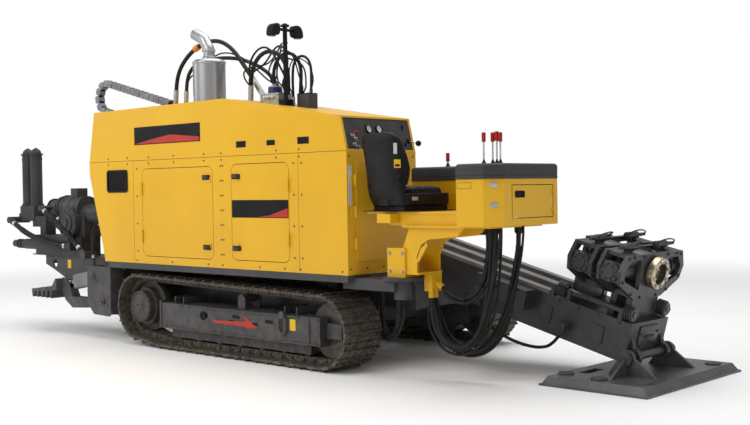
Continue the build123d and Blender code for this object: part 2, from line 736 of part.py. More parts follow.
def hood_top_z(x):
    # Height of the roof's skin at x, in front of the peak
    share = (x - hood_peak[0]) / (hood_front_top[0] - hood_peak[0])
    rear = (x - hood_rear_top[0]) / (hood_peak[0] - hood_rear_top[0])
    if x < hood_peak[0]:
        return hood_rear_top[1] + rear * (hood_peak[1] - hood_rear_top[1])
    return hood_peak[1] + share * (hood_front_top[1] - hood_peak[1])


def roof_fittings():
    # A pale valve block, a filler cap and a black box, each seated a little into the roof's slope
    block_roof = hood_top_z(400) - 60
    pale = block(330, 560, -760, -600, block_roof, 2200)
    cap = rod((430, -680, 2199), (430, -680, 2262), 55)
    box_roof = hood_top_z(760) - 40
    black = block(720, 858, -700, -600, box_roof, 2175)
    pale += cap + ferrule("roof_hose_4", 0, 91)
    black += ferrule("roof_hose_5", 1, 45)
    risers = [on_roof(pale)]
    # name, end, depth of each riser that stands on the roof
    for name, end, depth in (
        ("roof_hose_1", 0, 230), ("roof_hose_1", 1, 330), ("roof_hose_2", 0, 220), ("roof_hose_2", 1, 200),
        ("roof_hose_3", 0, 170), ("roof_hose_3", 1, 130), ("roof_hose_4", 1, 110), ("roof_hose_5", 0, 110),
    ):
        risers.append(on_roof(ferrule(name, end, depth)))
    return risers, on_roof(black)


def engine_block():
    length, width, height = engine_size
    y = (hood_near_y + hood_far_y) / 2
    x = engine_centre_x
    engine = block(x - length / 2, x + length / 2, y - width / 2, y + width / 2, 790, 790 + height)
    for foot_x in (x - 400, x + 360):
        engine += block(foot_x, foot_x + 60, hood_near_y + 30, hood_far_y - 30, hood_bottom, 791)
    return engine


def rear_deck():
    plate = block(deck_x0, -1650, -835, -470, 746, deck_z)
    # Lug at the near edge, where a pump hose ends
    plate += block(-2170, -2080, -965, -830, 746, 812)
    return plate + ferrule("pump_hose_2", 1, 45)


def mud_pump():
    y = pump_y
    pieces = []
    for x in damper_x:
        tube = rod((x, y, damper_z0), (x, y, damper_z1), damper_radius)
        dome = Pos(x, y, damper_z1) * Sphere(damper_radius - 6)
        pieces += [tube, dome]
        for z in (damper_z0, damper_z1 - 16):
            pieces.append(rod((x, y, z), (x, y, z + 16), damper_radius + 12))
    pieces.append(block(damper_x[1] - 60, damper_x[0] + 55, y - 70, y + 70, 1100, damper_z0 + 1))
    pieces.append(block(-3320, -3060, y - 60, y + 60, 1040, 1150))
    pieces.append(block(-3170, -3060, y - 60, y + 60, deck_z + 60, 1100))
    pieces.append(rod((pipe_end_x, y, pipe_z), (-3000, y, pipe_z), pipe_radius))
    pieces.append(rod((-3560, y, pipe_z), (-3200, y, pipe_z), pipe_radius + 16))
    pieces.append(block(-3180, -2300, y - 110, y + 110, deck_z, 960))
    pieces.append(rod((-2960, y, 1240), (-2760, y, 1240), 85))
    pieces.append(rod((-2770, y, 1240), (-2690, y, 1240), 115))
    pieces.append(rod((-2700, y, 1230), (-2340, y, 1230), 130))
    pieces.append(rod((-2480, y - 150, 1090), (-2480, y + 130, 1090), 165))
    pieces.append(block(-2660, -2250, y - 100, y + 120, 950, 1200))
    pieces.append(block(-2560, -2440, y - 60, y + 60, 1200, 1440))
    pieces.append(rod((-2350, y, 1180), (-1800, y, 1180), 95))
    # Fittings of the hoses on the near side
    pieces.append(block(-3640, -3550, y - 40, y + 40, 1080, 1180))
    pieces.append(rod((-3614, -930, 1112), (-3614, y, 1112), 34))
    pieces.append(ferrule("pump_hose_1", 0, 60))
    pieces.append(block(-2442, -2400, -935, y - 105, 815, 895))
    pieces.append(ferrule("pump_hose_1", 1, 45))
    pieces.append(rod((-2930, -955, 1240), (-2930, y, 1240), 28))
    pieces.append(ferrule("pump_hose_2", 0, 40))
    pieces.append(ferrule("outrigger_hose_1", 1, 40))
    return fused(pieces)


# Mast: a closed box beam with slide rails, ears, nose ears, vise saddles and the chain's tray
def mast_beam():
    beam = block(mast_rear, mast_front, mast_y0, mast_y1, mast_belly, mast_deck)
    w = mast_wall
    beam -= block(mast_rear + w, mast_front - w, mast_y0 + w, mast_y1 - w, mast_belly + w, mast_deck - w)
    pieces = []
    ear_y = (
        (mast_y0 + mast_ear_inset, mast_y0 + mast_ear_inset + mast_ear_thickness),
        (mast_y1 - mast_ear_inset - mast_ear_thickness, mast_y1 - mast_ear_inset),
    )
    for y0, y1 in ear_y:
        outline = [(-150, mast_belly + 1), (-60, -40), (60, -40), (150, mast_belly + 1)]
        pieces.append(side_plate(outline, y0, y1))
        # Nose ears for the anchor pin
        nose = side_plate([(mast_front - 160, mast_belly + 2), (nose_pin_u, nose_pin_w - nose_ear_radius + 4),
                           (nose_pin_u, nose_pin_w + nose_ear_radius), (mast_front - 40, mast_deck - 40)], y0, y1)
        nose += rod((nose_pin_u, y0, nose_pin_w), (nose_pin_u, y1, nose_pin_w), nose_ear_radius)
        pieces.append(nose)
    # Ears for the lift cylinders
    for side in (-1, 1):
        centre = mast_centre_y + side * lift_offset_y
        for edge in (-1, 1):
            y = centre + edge * (lift_eye_width / 2 + 13)
            outline = [(lift_ear_u - 90, mast_belly + 1), (lift_ear_u - 45, lift_ear_w - 45),
                       (lift_ear_u + 45, lift_ear_w - 45), (lift_ear_u + 90, mast_belly + 1)]
            pieces.append(side_plate(outline, y - 10, y + 10))
        pieces.append(rod((lift_ear_u, centre - 48, lift_ear_w), (lift_ear_u, centre + 48, lift_ear_w), lift_pin_radius))
    # Rear pedestal with the bore for the turning vise's hub
    y = mast_centre_y
    pedestal = cross_plate([(y - 190, mast_deck - 1), (y + 190, mast_deck - 1), (y + 190, 640), (y + 160, 935),
                            (y - 160, 935), (y - 190, 640)], pedestal_u, pedestal_u + pedestal_thickness)
    pedestal -= rod((pedestal_u - 1, y, drill_w), (pedestal_u + pedestal_thickness + 1, y, drill_w),
                    vise_hub_radius + vise_clearance)
    pieces.append(pedestal)
    # Tray for the drag chain, on brackets from the mast's side
    tray_top = chain_centre_w - chain_bend_radius - chain_thickness / 2
    pieces.append(block(mast_rear + 40, chain_lower_end_u + 100, chain_y0 - 5, mast_y0 - 2, tray_top - 10, tray_top))
    for i in range(6):
        u = mast_rear + 80 + i * 560
        pieces.append(cross_plate([(mast_y0 + 1, mast_deck - 120), (mast_y0 + 1, mast_deck - 1), (mast_y0 - 1, mast_deck),
                                   (mast_y0 - 1, tray_top - 9), (chain_y0, tray_top - 9), (chain_y0, tray_top - 40)],
                                  u, u + 12))
    # Valve box on the near side, and a bracket at the front of the station
    pieces.append(block(860, 1330, mast_y0 - 130, mast_y0 + 1, 300, mast_deck - 4))
    # Fittings of the hose under the mast
    y = mast_hose_route[0][1]
    end = mast_hose_route[-1]
    for tip, beside in ((mast_hose_route[0], mast_hose_route[1]), (end, mast_hose_route[-2])):
        outward = (Vector(*tip) - Vector(*beside)).normalized()
        far = Vector(*tip) + outward * 55
        pieces.append(rod(tip, (far.X, far.Y, far.Z), mast_hose_radius * 1.25))
    pieces.append(block(end[0] - 40, end[0] + 40, y - 25, mast_y0 + 1, end[2] + 50, end[2] + 90))
    total = beam
    for piece in pieces:
        total += piece
    for y0, y1 in ear_y:
        total -= rod((0, y0 - 1, 0), (0, y1 + 1, 0), mast_pin_radius + pin_clearance)
        total -= rod((nose_pin_u, y0 - 1, nose_pin_w), (nose_pin_u, y1 + 1, nose_pin_w), nose_pin_radius + pin_clearance)
    return total


def mast_rails():
    rails = []
    for side in (-1, 1):
        y = mast_centre_y + side * (mast_width / 2 - rail_width / 2)
        rails.append(block(mast_rear, rail_front, y - rail_width / 2, y + rail_width / 2, mast_deck,
                           mast_deck + rail_height))
    rack = block(mast_rear + 40, rail_front, mast_centre_y - 45, mast_centre_y + 45, mast_deck, mast_deck + 30)
    return rails + [rack]


def vise_outline(y, w):
    # Cross frame of a vise: flat top, wide shoulders, narrow foot
    return [(y - 385, w + 135), (y + 385, w + 135), (y + vise_half, w + 20), (y + 420, w - 78), (y + 190, w - 195),
            (y - 190, w - 195), (y - 420, w - 78), (y - vise_half, w + 20)]


def vise_frame(u0, u1):
    y = mast_centre_y
    w = drill_w
    pieces = []
    for u in (u0, u1 - vise_plate):
        plate = cross_plate(vise_outline(y, w), u, u + vise_plate)
        for side in (-1, 1):
            window = cross_plate([(y + side * 150, w - 130), (y + side * 200, w + 95), (y + side * 330, w + 95),
                                  (y + side * 400, w + 15), (y + side * 370, w - 50)], u - 1, u + vise_plate + 1)
            plate -= window
        pieces.append(plate)
    mid0 = u0 + vise_plate - 1
    mid1 = u1 - vise_plate + 1
    mid = (u0 + u1) / 2
    for side in (-1, 1):
        pieces.append(rod((mid, y + side * 100, w), (mid, y + side * 410, w), vise_cylinder_radius))
        pieces.append(rod((mid, y + side * 330, w), (mid, y + side * 430, w), vise_cylinder_radius + 10))
        pieces.append(block(mid0, mid1, y + side * 230, y + side * 380, w + 108, w + 134))
        pieces.append(block(mid0, mid1, y + side * 400 - 14, y + side * 400 + 14, w - 70, w + 70))
    pieces.append(block(mid0, mid1, y - 180, y + 180, w - 194, w - 160))
    pieces.append(rod((mid0, y, w), (mid1, y, w), vise_hub_radius))
    return fused(pieces)


def front_vise():
    y = mast_centre_y
    w = drill_w
    vise = vise_frame(front_vise_u0, front_vise_u1)
    vise += rod((front_vise_u1 - 1, y, w), (front_vise_u1 + guide_ring_length, y, w), guide_ring_radius)
    for u0 in (front_vise_u0 + 10, front_vise_u1 - 60):
        vise += block(u0, u0 + 50, y - 180, y + 180, mast_deck, w - 190)
    vise -= rod((front_vise_u0 - 1, y, w), (front_vise_u0 + vise_plate, y, w), vise_hub_radius + vise_clearance)
    vise -= rod((front_vise_u0 - 1, y, w), (front_vise_u1 + guide_ring_length + 1, y, w), vise_bore)
    return vise


def guide_bars():
    bars = []
    for side in (-1, 1):
        y = mast_centre_y + side * 232
        w = mast_deck + 62
        bar = rod((1480, y, w), (mast_front - 4, y, w), guide_bar_radius)
        for u0, u1 in ((1500, 1580), (mast_front - 90, mast_front - 10)):
            bar += rod((u0, y, w), (u1, y, w), guide_spring_radius)
        for u in (1450, 1590, mast_front - 120):
            bar += block(u, u + 30, y - 26, y + 26, mast_deck, w + 20)
        bars.append(bar)
    return bars


def rear_vise():
    y = mast_centre_y
    w = drill_w
    vise = vise_frame(rear_vise_u0, rear_vise_u1)
    vise += rod((pedestal_u, y, w), (front_vise_u0 + vise_plate - 4, y, w), vise_hub_radius)
    vise -= rod((pedestal_u - 1, y, w), (front_vise_u0 + vise_plate, y, w), vise_bore)
    return vise


def drag_chain():
    t = chain_thickness / 2
    r = chain_bend_radius
    w = chain_centre_w
    u = chain_bend_u
    outer = [Line((chain_lower_end_u, 0, w - r - t), (u, 0, w - r - t)),
             ThreePointArc((u, 0, w - r - t), (u - r - t, 0, w), (u, 0, w + r + t)),
             Line((u, 0, w + r + t), (chain_upper_end_u, 0, w + r + t)),
             Line((chain_upper_end_u, 0, w + r + t), (chain_upper_end_u, 0, w + r - t)),
             Line((chain_upper_end_u, 0, w + r - t), (u, 0, w + r - t)),
             ThreePointArc((u, 0, w + r - t), (u - r + t, 0, w), (u, 0, w - r + t)),
             Line((u, 0, w - r + t), (chain_lower_end_u, 0, w - r + t)),
             Line((chain_lower_end_u, 0, w - r + t), (chain_lower_end_u, 0, w - r - t))]
    strip = extrude(make_face(outer), amount=chain_y1 - chain_y0, dir=(0, 1, 0))
    return Pos(0, chain_y0, 0) * strip


def anchor_plate():
    base = flat_plate([(anchor_x0, anchor_y0), (anchor_x1, anchor_y0), (anchor_x1, anchor_y1), (anchor_x0, anchor_y1)],
                      0, anchor_rim)
    b = anchor_bevel
    lower = Plane.XY.offset(anchor_rim) * Rectangle(anchor_x1 - anchor_x0 - 30, anchor_y1 - anchor_y0 - 30)
    upper = Plane.XY.offset(anchor_top) * Rectangle(anchor_x1 - anchor_x0 - 30 - 2 * b, anchor_y1 - anchor_y0 - 30 - 2 * b)
    raised = Pos((anchor_x0 + anchor_x1) / 2, (anchor_y0 + anchor_y1) / 2, 0) * loft([lower, upper])
    plate = base + raised
    pin = nose_pin()
    for y0 in (mast_y0 - anchor_cheek_gap - anchor_cheek, mast_y1 + anchor_cheek_gap):
        y1 = y0 + anchor_cheek
        cheek = side_plate([(3270, anchor_top - 2), (3640, anchor_top - 2), (pin.X + 62, pin.Z), (pin.X - 62, pin.Z)], y0, y1)
        cheek += rod((pin.X, y0, pin.Z), (pin.X, y1, pin.Z), anchor_cheek_radius)
        plate += cheek
    for y0, y1 in ((mast_y0 - 260, mast_y0 - 34), (mast_y1 + 34, mast_y1 + 260)):
        outer_y, inner_y = (y0, y1) if y0 < 0 else (y1, y0)
        gusset = cross_plate([(outer_y, anchor_top - 2), (inner_y, anchor_top - 2), (inner_y, pin.Z + 10)],
                             pin.X - 9, pin.X + 9)
        plate += gusset
    for x, y in stake_holes:
        plate -= rod((x, y, -1), (x, y, anchor_top + 1), stake_hole_radius)
    plate -= block(3085, 3165, -230, 0, -1, anchor_top + 1)
    plate -= block(3085, 3165, 320, 550, -1, anchor_top + 1)
    plate += rod((pin.X, mast_y0 - anchor_cheek_gap - anchor_cheek - 12, pin.Z),
                 (pin.X, mast_y1 + anchor_cheek_gap + anchor_cheek + 12, pin.Z), nose_pin_radius)
    return plate


def nose_pin():
    return (mast_place * Pos(nose_pin_u, 0, nose_pin_w)).position


def head_carriage():
    y = mast_centre_y
    half = head_width / 2
    top = mast_deck + rail_height + head_clearance
    body = block(head_u0, head_u1, y - half, y + half, top, top + carriage_height)
    body -= block(head_u0 - 1, head_u1 + 1, y - 60, y + 60, top - 1, top + 24)
    for side in (-1, 1):
        body += block(head_u0 + 60, head_u1 - 60, y + side * 245, y + side * 225, top + 1, top + carriage_height + 60)
    return body


def drill_gearbox():
    y = mast_centre_y
    top = mast_deck + rail_height + head_clearance + carriage_height
    u1 = head_u1 - 100
    u0 = u1 - gearbox_length
    body = cross_plate([(y - 200, top), (y + 200, top), (y + 200, drill_w + 90), (y + 120, drill_w + 185),
                        (y - 120, drill_w + 185), (y - 200, drill_w + 90)], u0, u1)
    for side in (-1, 1):
        body += rod((u0 + 1, y + side * 105, drill_w + 20), (u0 - 220, y + side * 105, drill_w + 20), 80)
    body += rod((u1 - 1, y, drill_w), (u1 + 40, y, drill_w), 105)
    body += rod((u0 + 1, y, drill_w - 95), (u0 - 160, y, drill_w - 95), 45)
    body -= rod((u1 - 30, y, drill_w), (u1 + 41, y, drill_w), spindle_radius + pin_clearance)
    return body


def drill_spindle():
    y = mast_centre_y
    u1 = head_u1 - 100
    spindle = rod((u1 - 29, y, drill_w), (u1 + spindle_length, y, drill_w), spindle_radius)
    spindle += rod((u1 + 70, y, drill_w), (u1 + 110, y, drill_w), 98)
    spindle += rod((u1 + 150, y, drill_w), (u1 + spindle_length + 40, y, drill_w), 44)
    spindle -= rod((u1 + 20, y, drill_w), (u1 + spindle_length + 41, y, drill_w), 22)
    for i in range(6):
        a = i * math.pi / 3
        by = y + 80 * math.cos(a)
        bw = drill_w + 80 * math.sin(a)
        spindle += rod((u1 + 60, by, bw), (u1 + 71, by, bw), 11)
    return spindle


# Lift cylinders between the chassis and the mast, opened at the rod's eye
def lift_eye_place():
    return (mast_place * Pos(lift_ear_u, 0, lift_ear_w)).position


def lift_cylinders():
    top = lift_eye_place()
    base = Vector(lift_base_x, 0, lift_base_z)
    along = (Vector(top.X, 0, top.Z) - base).normalized()
    reach = (Vector(top.X, 0, top.Z) - base).length
    barrels = []
    rods = []
    for side in (-1, 1):
        y = mast_centre_y + side * lift_offset_y
        half = lift_eye_width / 2

        def at(distance):
            p = base + along * distance
            return (p.X, y, p.Z)

        eye = rod((base.X, y - half, base.Z), (base.X, y + half, base.Z), lift_pin_radius + 22)
        barrel = rod(at(40), at(lift_barrel_length), lift_barrel_radius) + eye
        barrel -= rod((base.X, y - half - 1, base.Z), (base.X, y + half + 1, base.Z), lift_pin_radius + pin_clearance)
        barrel -= rod(at(lift_rod_start - lift_stroke), at(lift_barrel_length + 1), lift_rod_radius + pin_clearance)
        barrels.append(barrel)
        piston = rod(at(lift_rod_start), at(reach - 40), lift_rod_radius)
        head = rod((top.X, y - half, top.Z), (top.X, y + half, top.Z), lift_pin_radius + 30)
        head -= rod((top.X, y - half - 1, top.Z), (top.X, y + half + 1, top.Z), lift_pin_radius + 12)
        rods.append(piston - rod((top.X, y - half - 1, top.Z), (top.X, y + half + 1, top.Z), lift_pin_radius + 12) + head)
    return barrels, rods


# Operator station on its swing column
def station_arm():
    pieces = []
    x, y = swing_x, swing_y
    pieces.append(block(x - 78, x + 90, y - 78, y + 78, swing_flange_z1 + running_clearance, 960))
    # Two curved side plates that rise from the knuckle to the console
    plate = [(x - 20, 770), (x + 190, 770), (x + 190, 905), (x + 230, 985), (x + 300, 1025), (x + 560, 1050),
             (x + 638, console_z0), (x + 130, console_z0), (x + 60, 960), (x - 20, 960)]
    for y0 in (y - 60, y + 190):
        pieces.append(side_plate(plate, y0, y0 + 16))
    pieces.append(block(x + 60, x + 205, y - 60, y + 206, 770, 786))
    pieces.append(block(x + 90, x + 870, y - 100, y + 520, console_z0 - 14, console_z0))
    pieces.append(block(x - 60, x + 600, y - 60, y + 206, console_z0 - 1, seat_plate_z - 14))
    pieces.append(block(x - 280, x + 620, y - 70, y + 440, seat_plate_z - 15, seat_plate_z))
    pieces.append(block(x - 100, x + 30, y - 160, y - 40, seat_plate_z - 80, seat_plate_z - 14))
    # Manifold under the knuckle, where the hoses from the console end
    manifold_x0, manifold_x1, manifold_y0, manifold_y1, manifold_z0, manifold_z1 = manifold_box
    pieces.append(block(manifold_x0, manifold_x1, manifold_y0, manifold_y1, manifold_z0, manifold_z1))
    for name in ("station_hose_1", "station_hose_2", "station_hose_3"):
        pieces.append(ferrule(name, 0, hose_ferrule + 12))
        pieces.append(ferrule(name, 1, hose_ferrule - 13))
    return fused(pieces)


def console_plan(inset, cover):
    # Plan of the console: a box across the front with a cut near corner, and an arm behind it
    x0 = console_x0 - cover + inset
    x1 = console_x1 + cover - inset
    y0 = console_y0 - cover + inset
    y1 = console_y1 + cover - inset
    c = console_chamfer
    ax0 = arm_x0 - cover + inset
    ay0 = arm_y0 - cover + inset
    return [(x0, y0), (x1 - c, y0), (x1, y0 + c), (x1, y1), (ax0, y1), (ax0, ay0), (x0, ay0)]


def console_box():
    body = flat_plate(console_plan(0, 0), console_z0, console_z1)
    cavity = flat_plate(console_plan(console_wall, 0), console_z0 + console_wall, console_z1 + 1)
    body -= cavity
    body -= block(arm_x0 - 1, console_x0 - 1, arm_y0 - 1, console_y1 + 1, console_z0 - 1, arm_z0 - console_wall)
    body += block(arm_x0, console_x0 + 1, arm_y0, console_y1, arm_z0 - console_wall, arm_z0)
    door = console_door_box()
    x0, x1, y0, y1, z0, z1 = door
    body -= block(x0 - 1, x1 + 1, y0 - door_gap, y1 + door_gap, z0 - door_gap, z1 + door_gap)
    hinge_y = y1 + door_gap / 2
    for z in (z0 + 25, z1 - 65):
        body += rod((console_x1 + 7, hinge_y, z), (console_x1 + 7, hinge_y, z + 13), 7)
        body += block(console_x1, console_x1 + 3, hinge_y, hinge_y + 20, z, z + 13)
    return body


def console_door_box():
    return console_x1 - console_wall, console_x1, console_y0 + 190, console_y1 - 60, console_z0 + 55, console_z1 - 45


def console_door():
    x0, x1, y0, y1, z0, z1 = console_door_box()
    panel = block(x0, x1, y0, y1, z0, z1)
    hinge_y = y1 + door_gap / 2
    for z in (z0 + 25, z1 - 65):
        panel += rod((console_x1 + 7, hinge_y, z + 14), (console_x1 + 7, hinge_y, z + 40), 7)
        panel += block(console_x1 - 1, console_x1 + 3, hinge_y - 24, hinge_y, z + 14, z + 40)
    panel -= block(x1 - 7, x1 + 1, y0 + 40, y0 + 130, z1 - 75, z1 - 45)
    return panel


def console_cover():
    cover = flat_plate(console_plan(0, cover_lip), console_z1, cover_top)
    top_edges = cover.faces().sort_by(Axis.Z)[-1].edges()
    return chamfer(top_edges, 10)


def control_levers():
    levers = []
    # x, y, top of the lever
    for x, y, top in ((2700, -790, 1766), (2740, -740, 1766), (2775, -740, 1772), (2805, -740, 1764), (2060, -400, 1650)):
        stick = rod((x, y, cover_top), (x, y, top - 60), lever_radius)
        knob = rod((x, y, top - 61), (x, y, top), 13)
        boot = Pos(x, y, cover_top + 9) * Cone(20, 9, 18)
        levers.append(stick + knob + boot)
    return levers


def seat_place():
    return Location((seat_x, seat_y, seat_plate_z), (0, 0, seat_turn))


def seat_shell():
    half = seat_width / 2
    base = block(-190, 210, -half + 20, half - 20, 0, 40)
    pan = block(-215, 235, -half, half, 40, 78)
    back = side_plate([(-225, 60), (-185, 60), (-250, 560), (-300, 545)], -half + 25, half - 25)
    pillar = block(-228, -150, -70, 70, 40, 130)
    return seat_place() * fused([base, pan, back, pillar])


def seat_cushion():
    half = seat_width / 2 - 8
    pad = block(-150, 228, -half, half, 78.3, 190)
    return seat_place() * fillet(pad.edges().filter_by(Axis.Z), 50)


def seat_back():
    half = seat_width / 2 - 35
    # Its rear face follows the shell's front, which leans from x -185 at z 60 to -250 at z 560
    rear = [(-185 - 65 * (z - 60) / 500 + running_clearance, z) for z in (200, 540)]
    pad = side_plate([rear[0], (-110, 200), (-165, 540), rear[1]], -half, half)
    return seat_place() * pad


# Rear outrigger: leg with its toothed foot, cylinder barrel and rod
def outrigger_leg():
    y = outrigger_y0 + outrigger_width / 2
    x0, z0 = leg_pin
    ex, ez = rod_eye
    cheek_half = outrigger_width / 2 - outrigger_plate - outrigger_side_gap
    half = cheek_half - 2
    slot = outrigger_eye_half + 2
    arm = [(x0 + 40, z0 - 45), (x0 + 40, z0 + 45), (-1960, 372), (-2225, 372), (ex + 62, ez + 10), (ex + 40, ez + 62),
           (ex - 40, ez + 62), (-2440, 470), (-2350, 330), (-2225, 262), (-1960, 278)]
    leg = side_plate(arm, y - half, y + half)
    leg += rod((x0, y - cheek_half, z0), (x0, y + cheek_half, z0), leg_pin_radius + 26)
    foot = [(-2418, 545), (-2480, 470), (-2865, 425), (-2865, 398), (-2470, 425), (-2400, 440), (-2400, 545)]
    foot_half = 120
    leg += side_plate(foot, y - foot_half, y + foot_half)
    leg -= block(ex - 62, ex + 90, y - slot, y + slot, ez - 66, ez + 90)
    leg += rod((ex, y - half, ez), (ex, y + half, ez), leg_pin_radius)
    for x in (-2845, -2760, -2675, -2590, -2505):
        root = foot_tip[1] + 0.07 * (x - foot_tip[0])
        leg += side_plate([(x - 20, root), (x + 30, root + 5), (x + 6, 345), (x - 10, 345)], y - foot_half, y + foot_half)
    leg -= rod((x0, y - cheek_half - 1, z0), (x0, y + cheek_half + 1, z0), leg_pin_radius + pin_clearance)
    return leg


def outrigger_cylinder():
    y = outrigger_y0 + outrigger_width / 2
    a = Vector(barrel_pin[0], y, barrel_pin[1])
    b = Vector(rod_eye[0], y, rod_eye[1])
    along = (b - a).normalized()
    reach = (b - a).length
    cheek_half = outrigger_width / 2 - outrigger_plate - outrigger_side_gap

    def at(distance):
        p = a + along * distance
        return (p.X, p.Y, p.Z)

    barrel = rod(at(42), at(barrel_length), barrel_radius)
    neck = rod(at(0), at(60), 42)
    eye = rod((a.X, y - 40, a.Z), (a.X, y + 40, a.Z), leg_pin_radius + 22)
    barrel = barrel & block(-4000, 4000, y - cheek_half, y + cheek_half, 0, 3000)
    barrel = barrel + neck + eye
    barrel -= rod((a.X, y - 60, a.Z), (a.X, y + 60, a.Z), leg_pin_radius + pin_clearance)
    barrel -= rod(at(150), at(barrel_length + 1), outrigger_rod_radius + pin_clearance)
    piston = rod(at(330), at(reach - 36), outrigger_rod_radius)
    eye_half = outrigger_eye_half
    head = rod((b.X, y - eye_half, b.Z), (b.X, y + eye_half, b.Z), leg_pin_radius + 26)
    bore = rod((b.X, y - 60, b.Z), (b.X, y + 60, b.Z), leg_pin_radius + 12)
    return barrel, piston - bore + (head - bore)


def side_deck():
    return block(-1400, 1300, main_beam_far_y1 + 1, track_half_width - 20, main_beam_top, main_beam_top + 12)


def build():
    wheels, carrier_z = track_wheels()
    write("chassis_frame", chassis_frame())
    write("hood_floor", hood_floor())
    frame = track_frame(carrier_z)
    write("track_frame_right", frame)
    write("track_frame_left", mirrored(frame))
    loop = track()
    write("track_right", loop)
    write("track_left", mirrored(loop))
    write("track_wheels_right", Compound(children=wheels))
    write("track_wheels_left", Compound(children=[mirrored(wheel) for wheel in wheels]))
    write("side_deck", side_deck())
    lower, upper = hood_shell()
    write("hood_lower", lower)
    write("hood_upper", upper)
    write("dash_panel", dash_slab(0.5, -20, -6))
    write("hood_door_rear", hood_door(door_rear_box, False))
    write("hood_door_front", hood_door(door_front_box, True))
    write("engine_block", engine_block())
    write("muffler", muffler())
    write("lamp_mast", lamp_mast())
    pale, black = roof_fittings()
    write("roof_valve", Compound(children=pale))
    write("roof_box", black)
    write("rear_deck", rear_deck())
    write("mud_pump", mud_pump())
    write("mast_beam", mast_place * mast_beam())
    write("mast_rails", Compound(children=[mast_place * rail for rail in mast_rails()]))
    write("drag_chain", mast_place * drag_chain())
    write("front_vise", mast_place * front_vise())
    write("guide_bars", Compound(children=[mast_place * bar for bar in guide_bars()]))
    write("rear_vise", mast_place * rear_vise())
    write("anchor_plate", anchor_plate())
    write("head_carriage", mast_place * head_carriage())
    write("drill_gearbox", mast_place * drill_gearbox())
    write("drill_spindle", mast_place * drill_spindle())
    barrels, rods = lift_cylinders()
    write("lift_barrels", Compound(children=barrels))
    write("lift_rods", Compound(children=rods))
    write("station_arm", station_arm())
    write("console_box", console_box())
    write("console_cover", console_cover())
    write("console_door", console_door())
    write("control_levers", Compound(children=control_levers()))
    write("seat_shell", seat_shell())
    write("seat_cushion", seat_cushion())
    write("seat_back", seat_back())
    leg = outrigger_leg()
    barrel, piston = outrigger_cylinder()
    write("outrigger_leg_right", leg)
    write("outrigger_leg_left", mirrored(leg))
    write("outrigger_barrel_right", barrel)
    write("outrigger_barrel_left", mirrored(barrel))
    write("outrigger_rod_right", piston)
    write("outrigger_rod_left", mirrored(piston))
    for name, (radius, points) in hose_routes.items():
        write(name, hose(name, radius, points))
    write("mast_hose_1", mast_place * hose("mast_hose_1", mast_hose_radius, mast_hose_route))


build()
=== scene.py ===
import math

import bpy
import numpy as np
from mathutils import Matrix, Vector


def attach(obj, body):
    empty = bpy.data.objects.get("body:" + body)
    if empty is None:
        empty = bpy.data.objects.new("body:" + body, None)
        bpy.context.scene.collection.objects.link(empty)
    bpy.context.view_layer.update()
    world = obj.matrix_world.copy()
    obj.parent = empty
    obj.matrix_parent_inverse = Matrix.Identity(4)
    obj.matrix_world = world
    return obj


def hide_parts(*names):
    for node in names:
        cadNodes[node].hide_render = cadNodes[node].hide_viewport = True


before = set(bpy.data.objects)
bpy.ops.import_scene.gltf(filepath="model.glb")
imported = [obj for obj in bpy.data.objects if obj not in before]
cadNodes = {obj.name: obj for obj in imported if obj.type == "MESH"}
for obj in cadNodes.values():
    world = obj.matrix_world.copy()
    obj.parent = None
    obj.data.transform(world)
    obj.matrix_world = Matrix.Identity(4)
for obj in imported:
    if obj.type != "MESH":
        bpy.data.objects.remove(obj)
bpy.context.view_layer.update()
print("frame loaded:", len(cadNodes), "nodes")


# Camera: stands right of the nose, as in the photograph
camera = {
    "place": (7.34, -6.873, 1.395),
    "heading": 43.04,   # degrees from +Y towards -X
    "down": 1.27,
    "roll": -0.87,
    "lens": 52.67,      # on a 36 mm wide frame
}


def setCamera(s):
    # Looks along the heading, dipped by down; right and up are turned about that line by the roll
    a, d, r = (math.radians(s[k]) for k in ("heading", "down", "roll"))
    forward = Vector((-math.sin(a) * math.cos(d), math.cos(a) * math.cos(d), -math.sin(d)))
    right = Vector((math.cos(a), math.sin(a), 0))
    up = right.cross(forward)
    tiltedRight = right * math.cos(r) + up * math.sin(r)
    tiltedUp = up * math.cos(r) - right * math.sin(r)
    data = bpy.data.cameras.new("photoCamera")
    data.lens = s["lens"]
    data.sensor_width = 36
    data.clip_end = 200
    obj = bpy.data.objects.new("photoCamera", data)
    turn = Matrix((tiltedRight, tiltedUp, -forward)).transposed().to_4x4()
    obj.matrix_world = Matrix.Translation(s["place"]) @ turn
    bpy.context.scene.collection.objects.link(obj)
    bpy.context.scene.camera = obj


setCamera(camera)

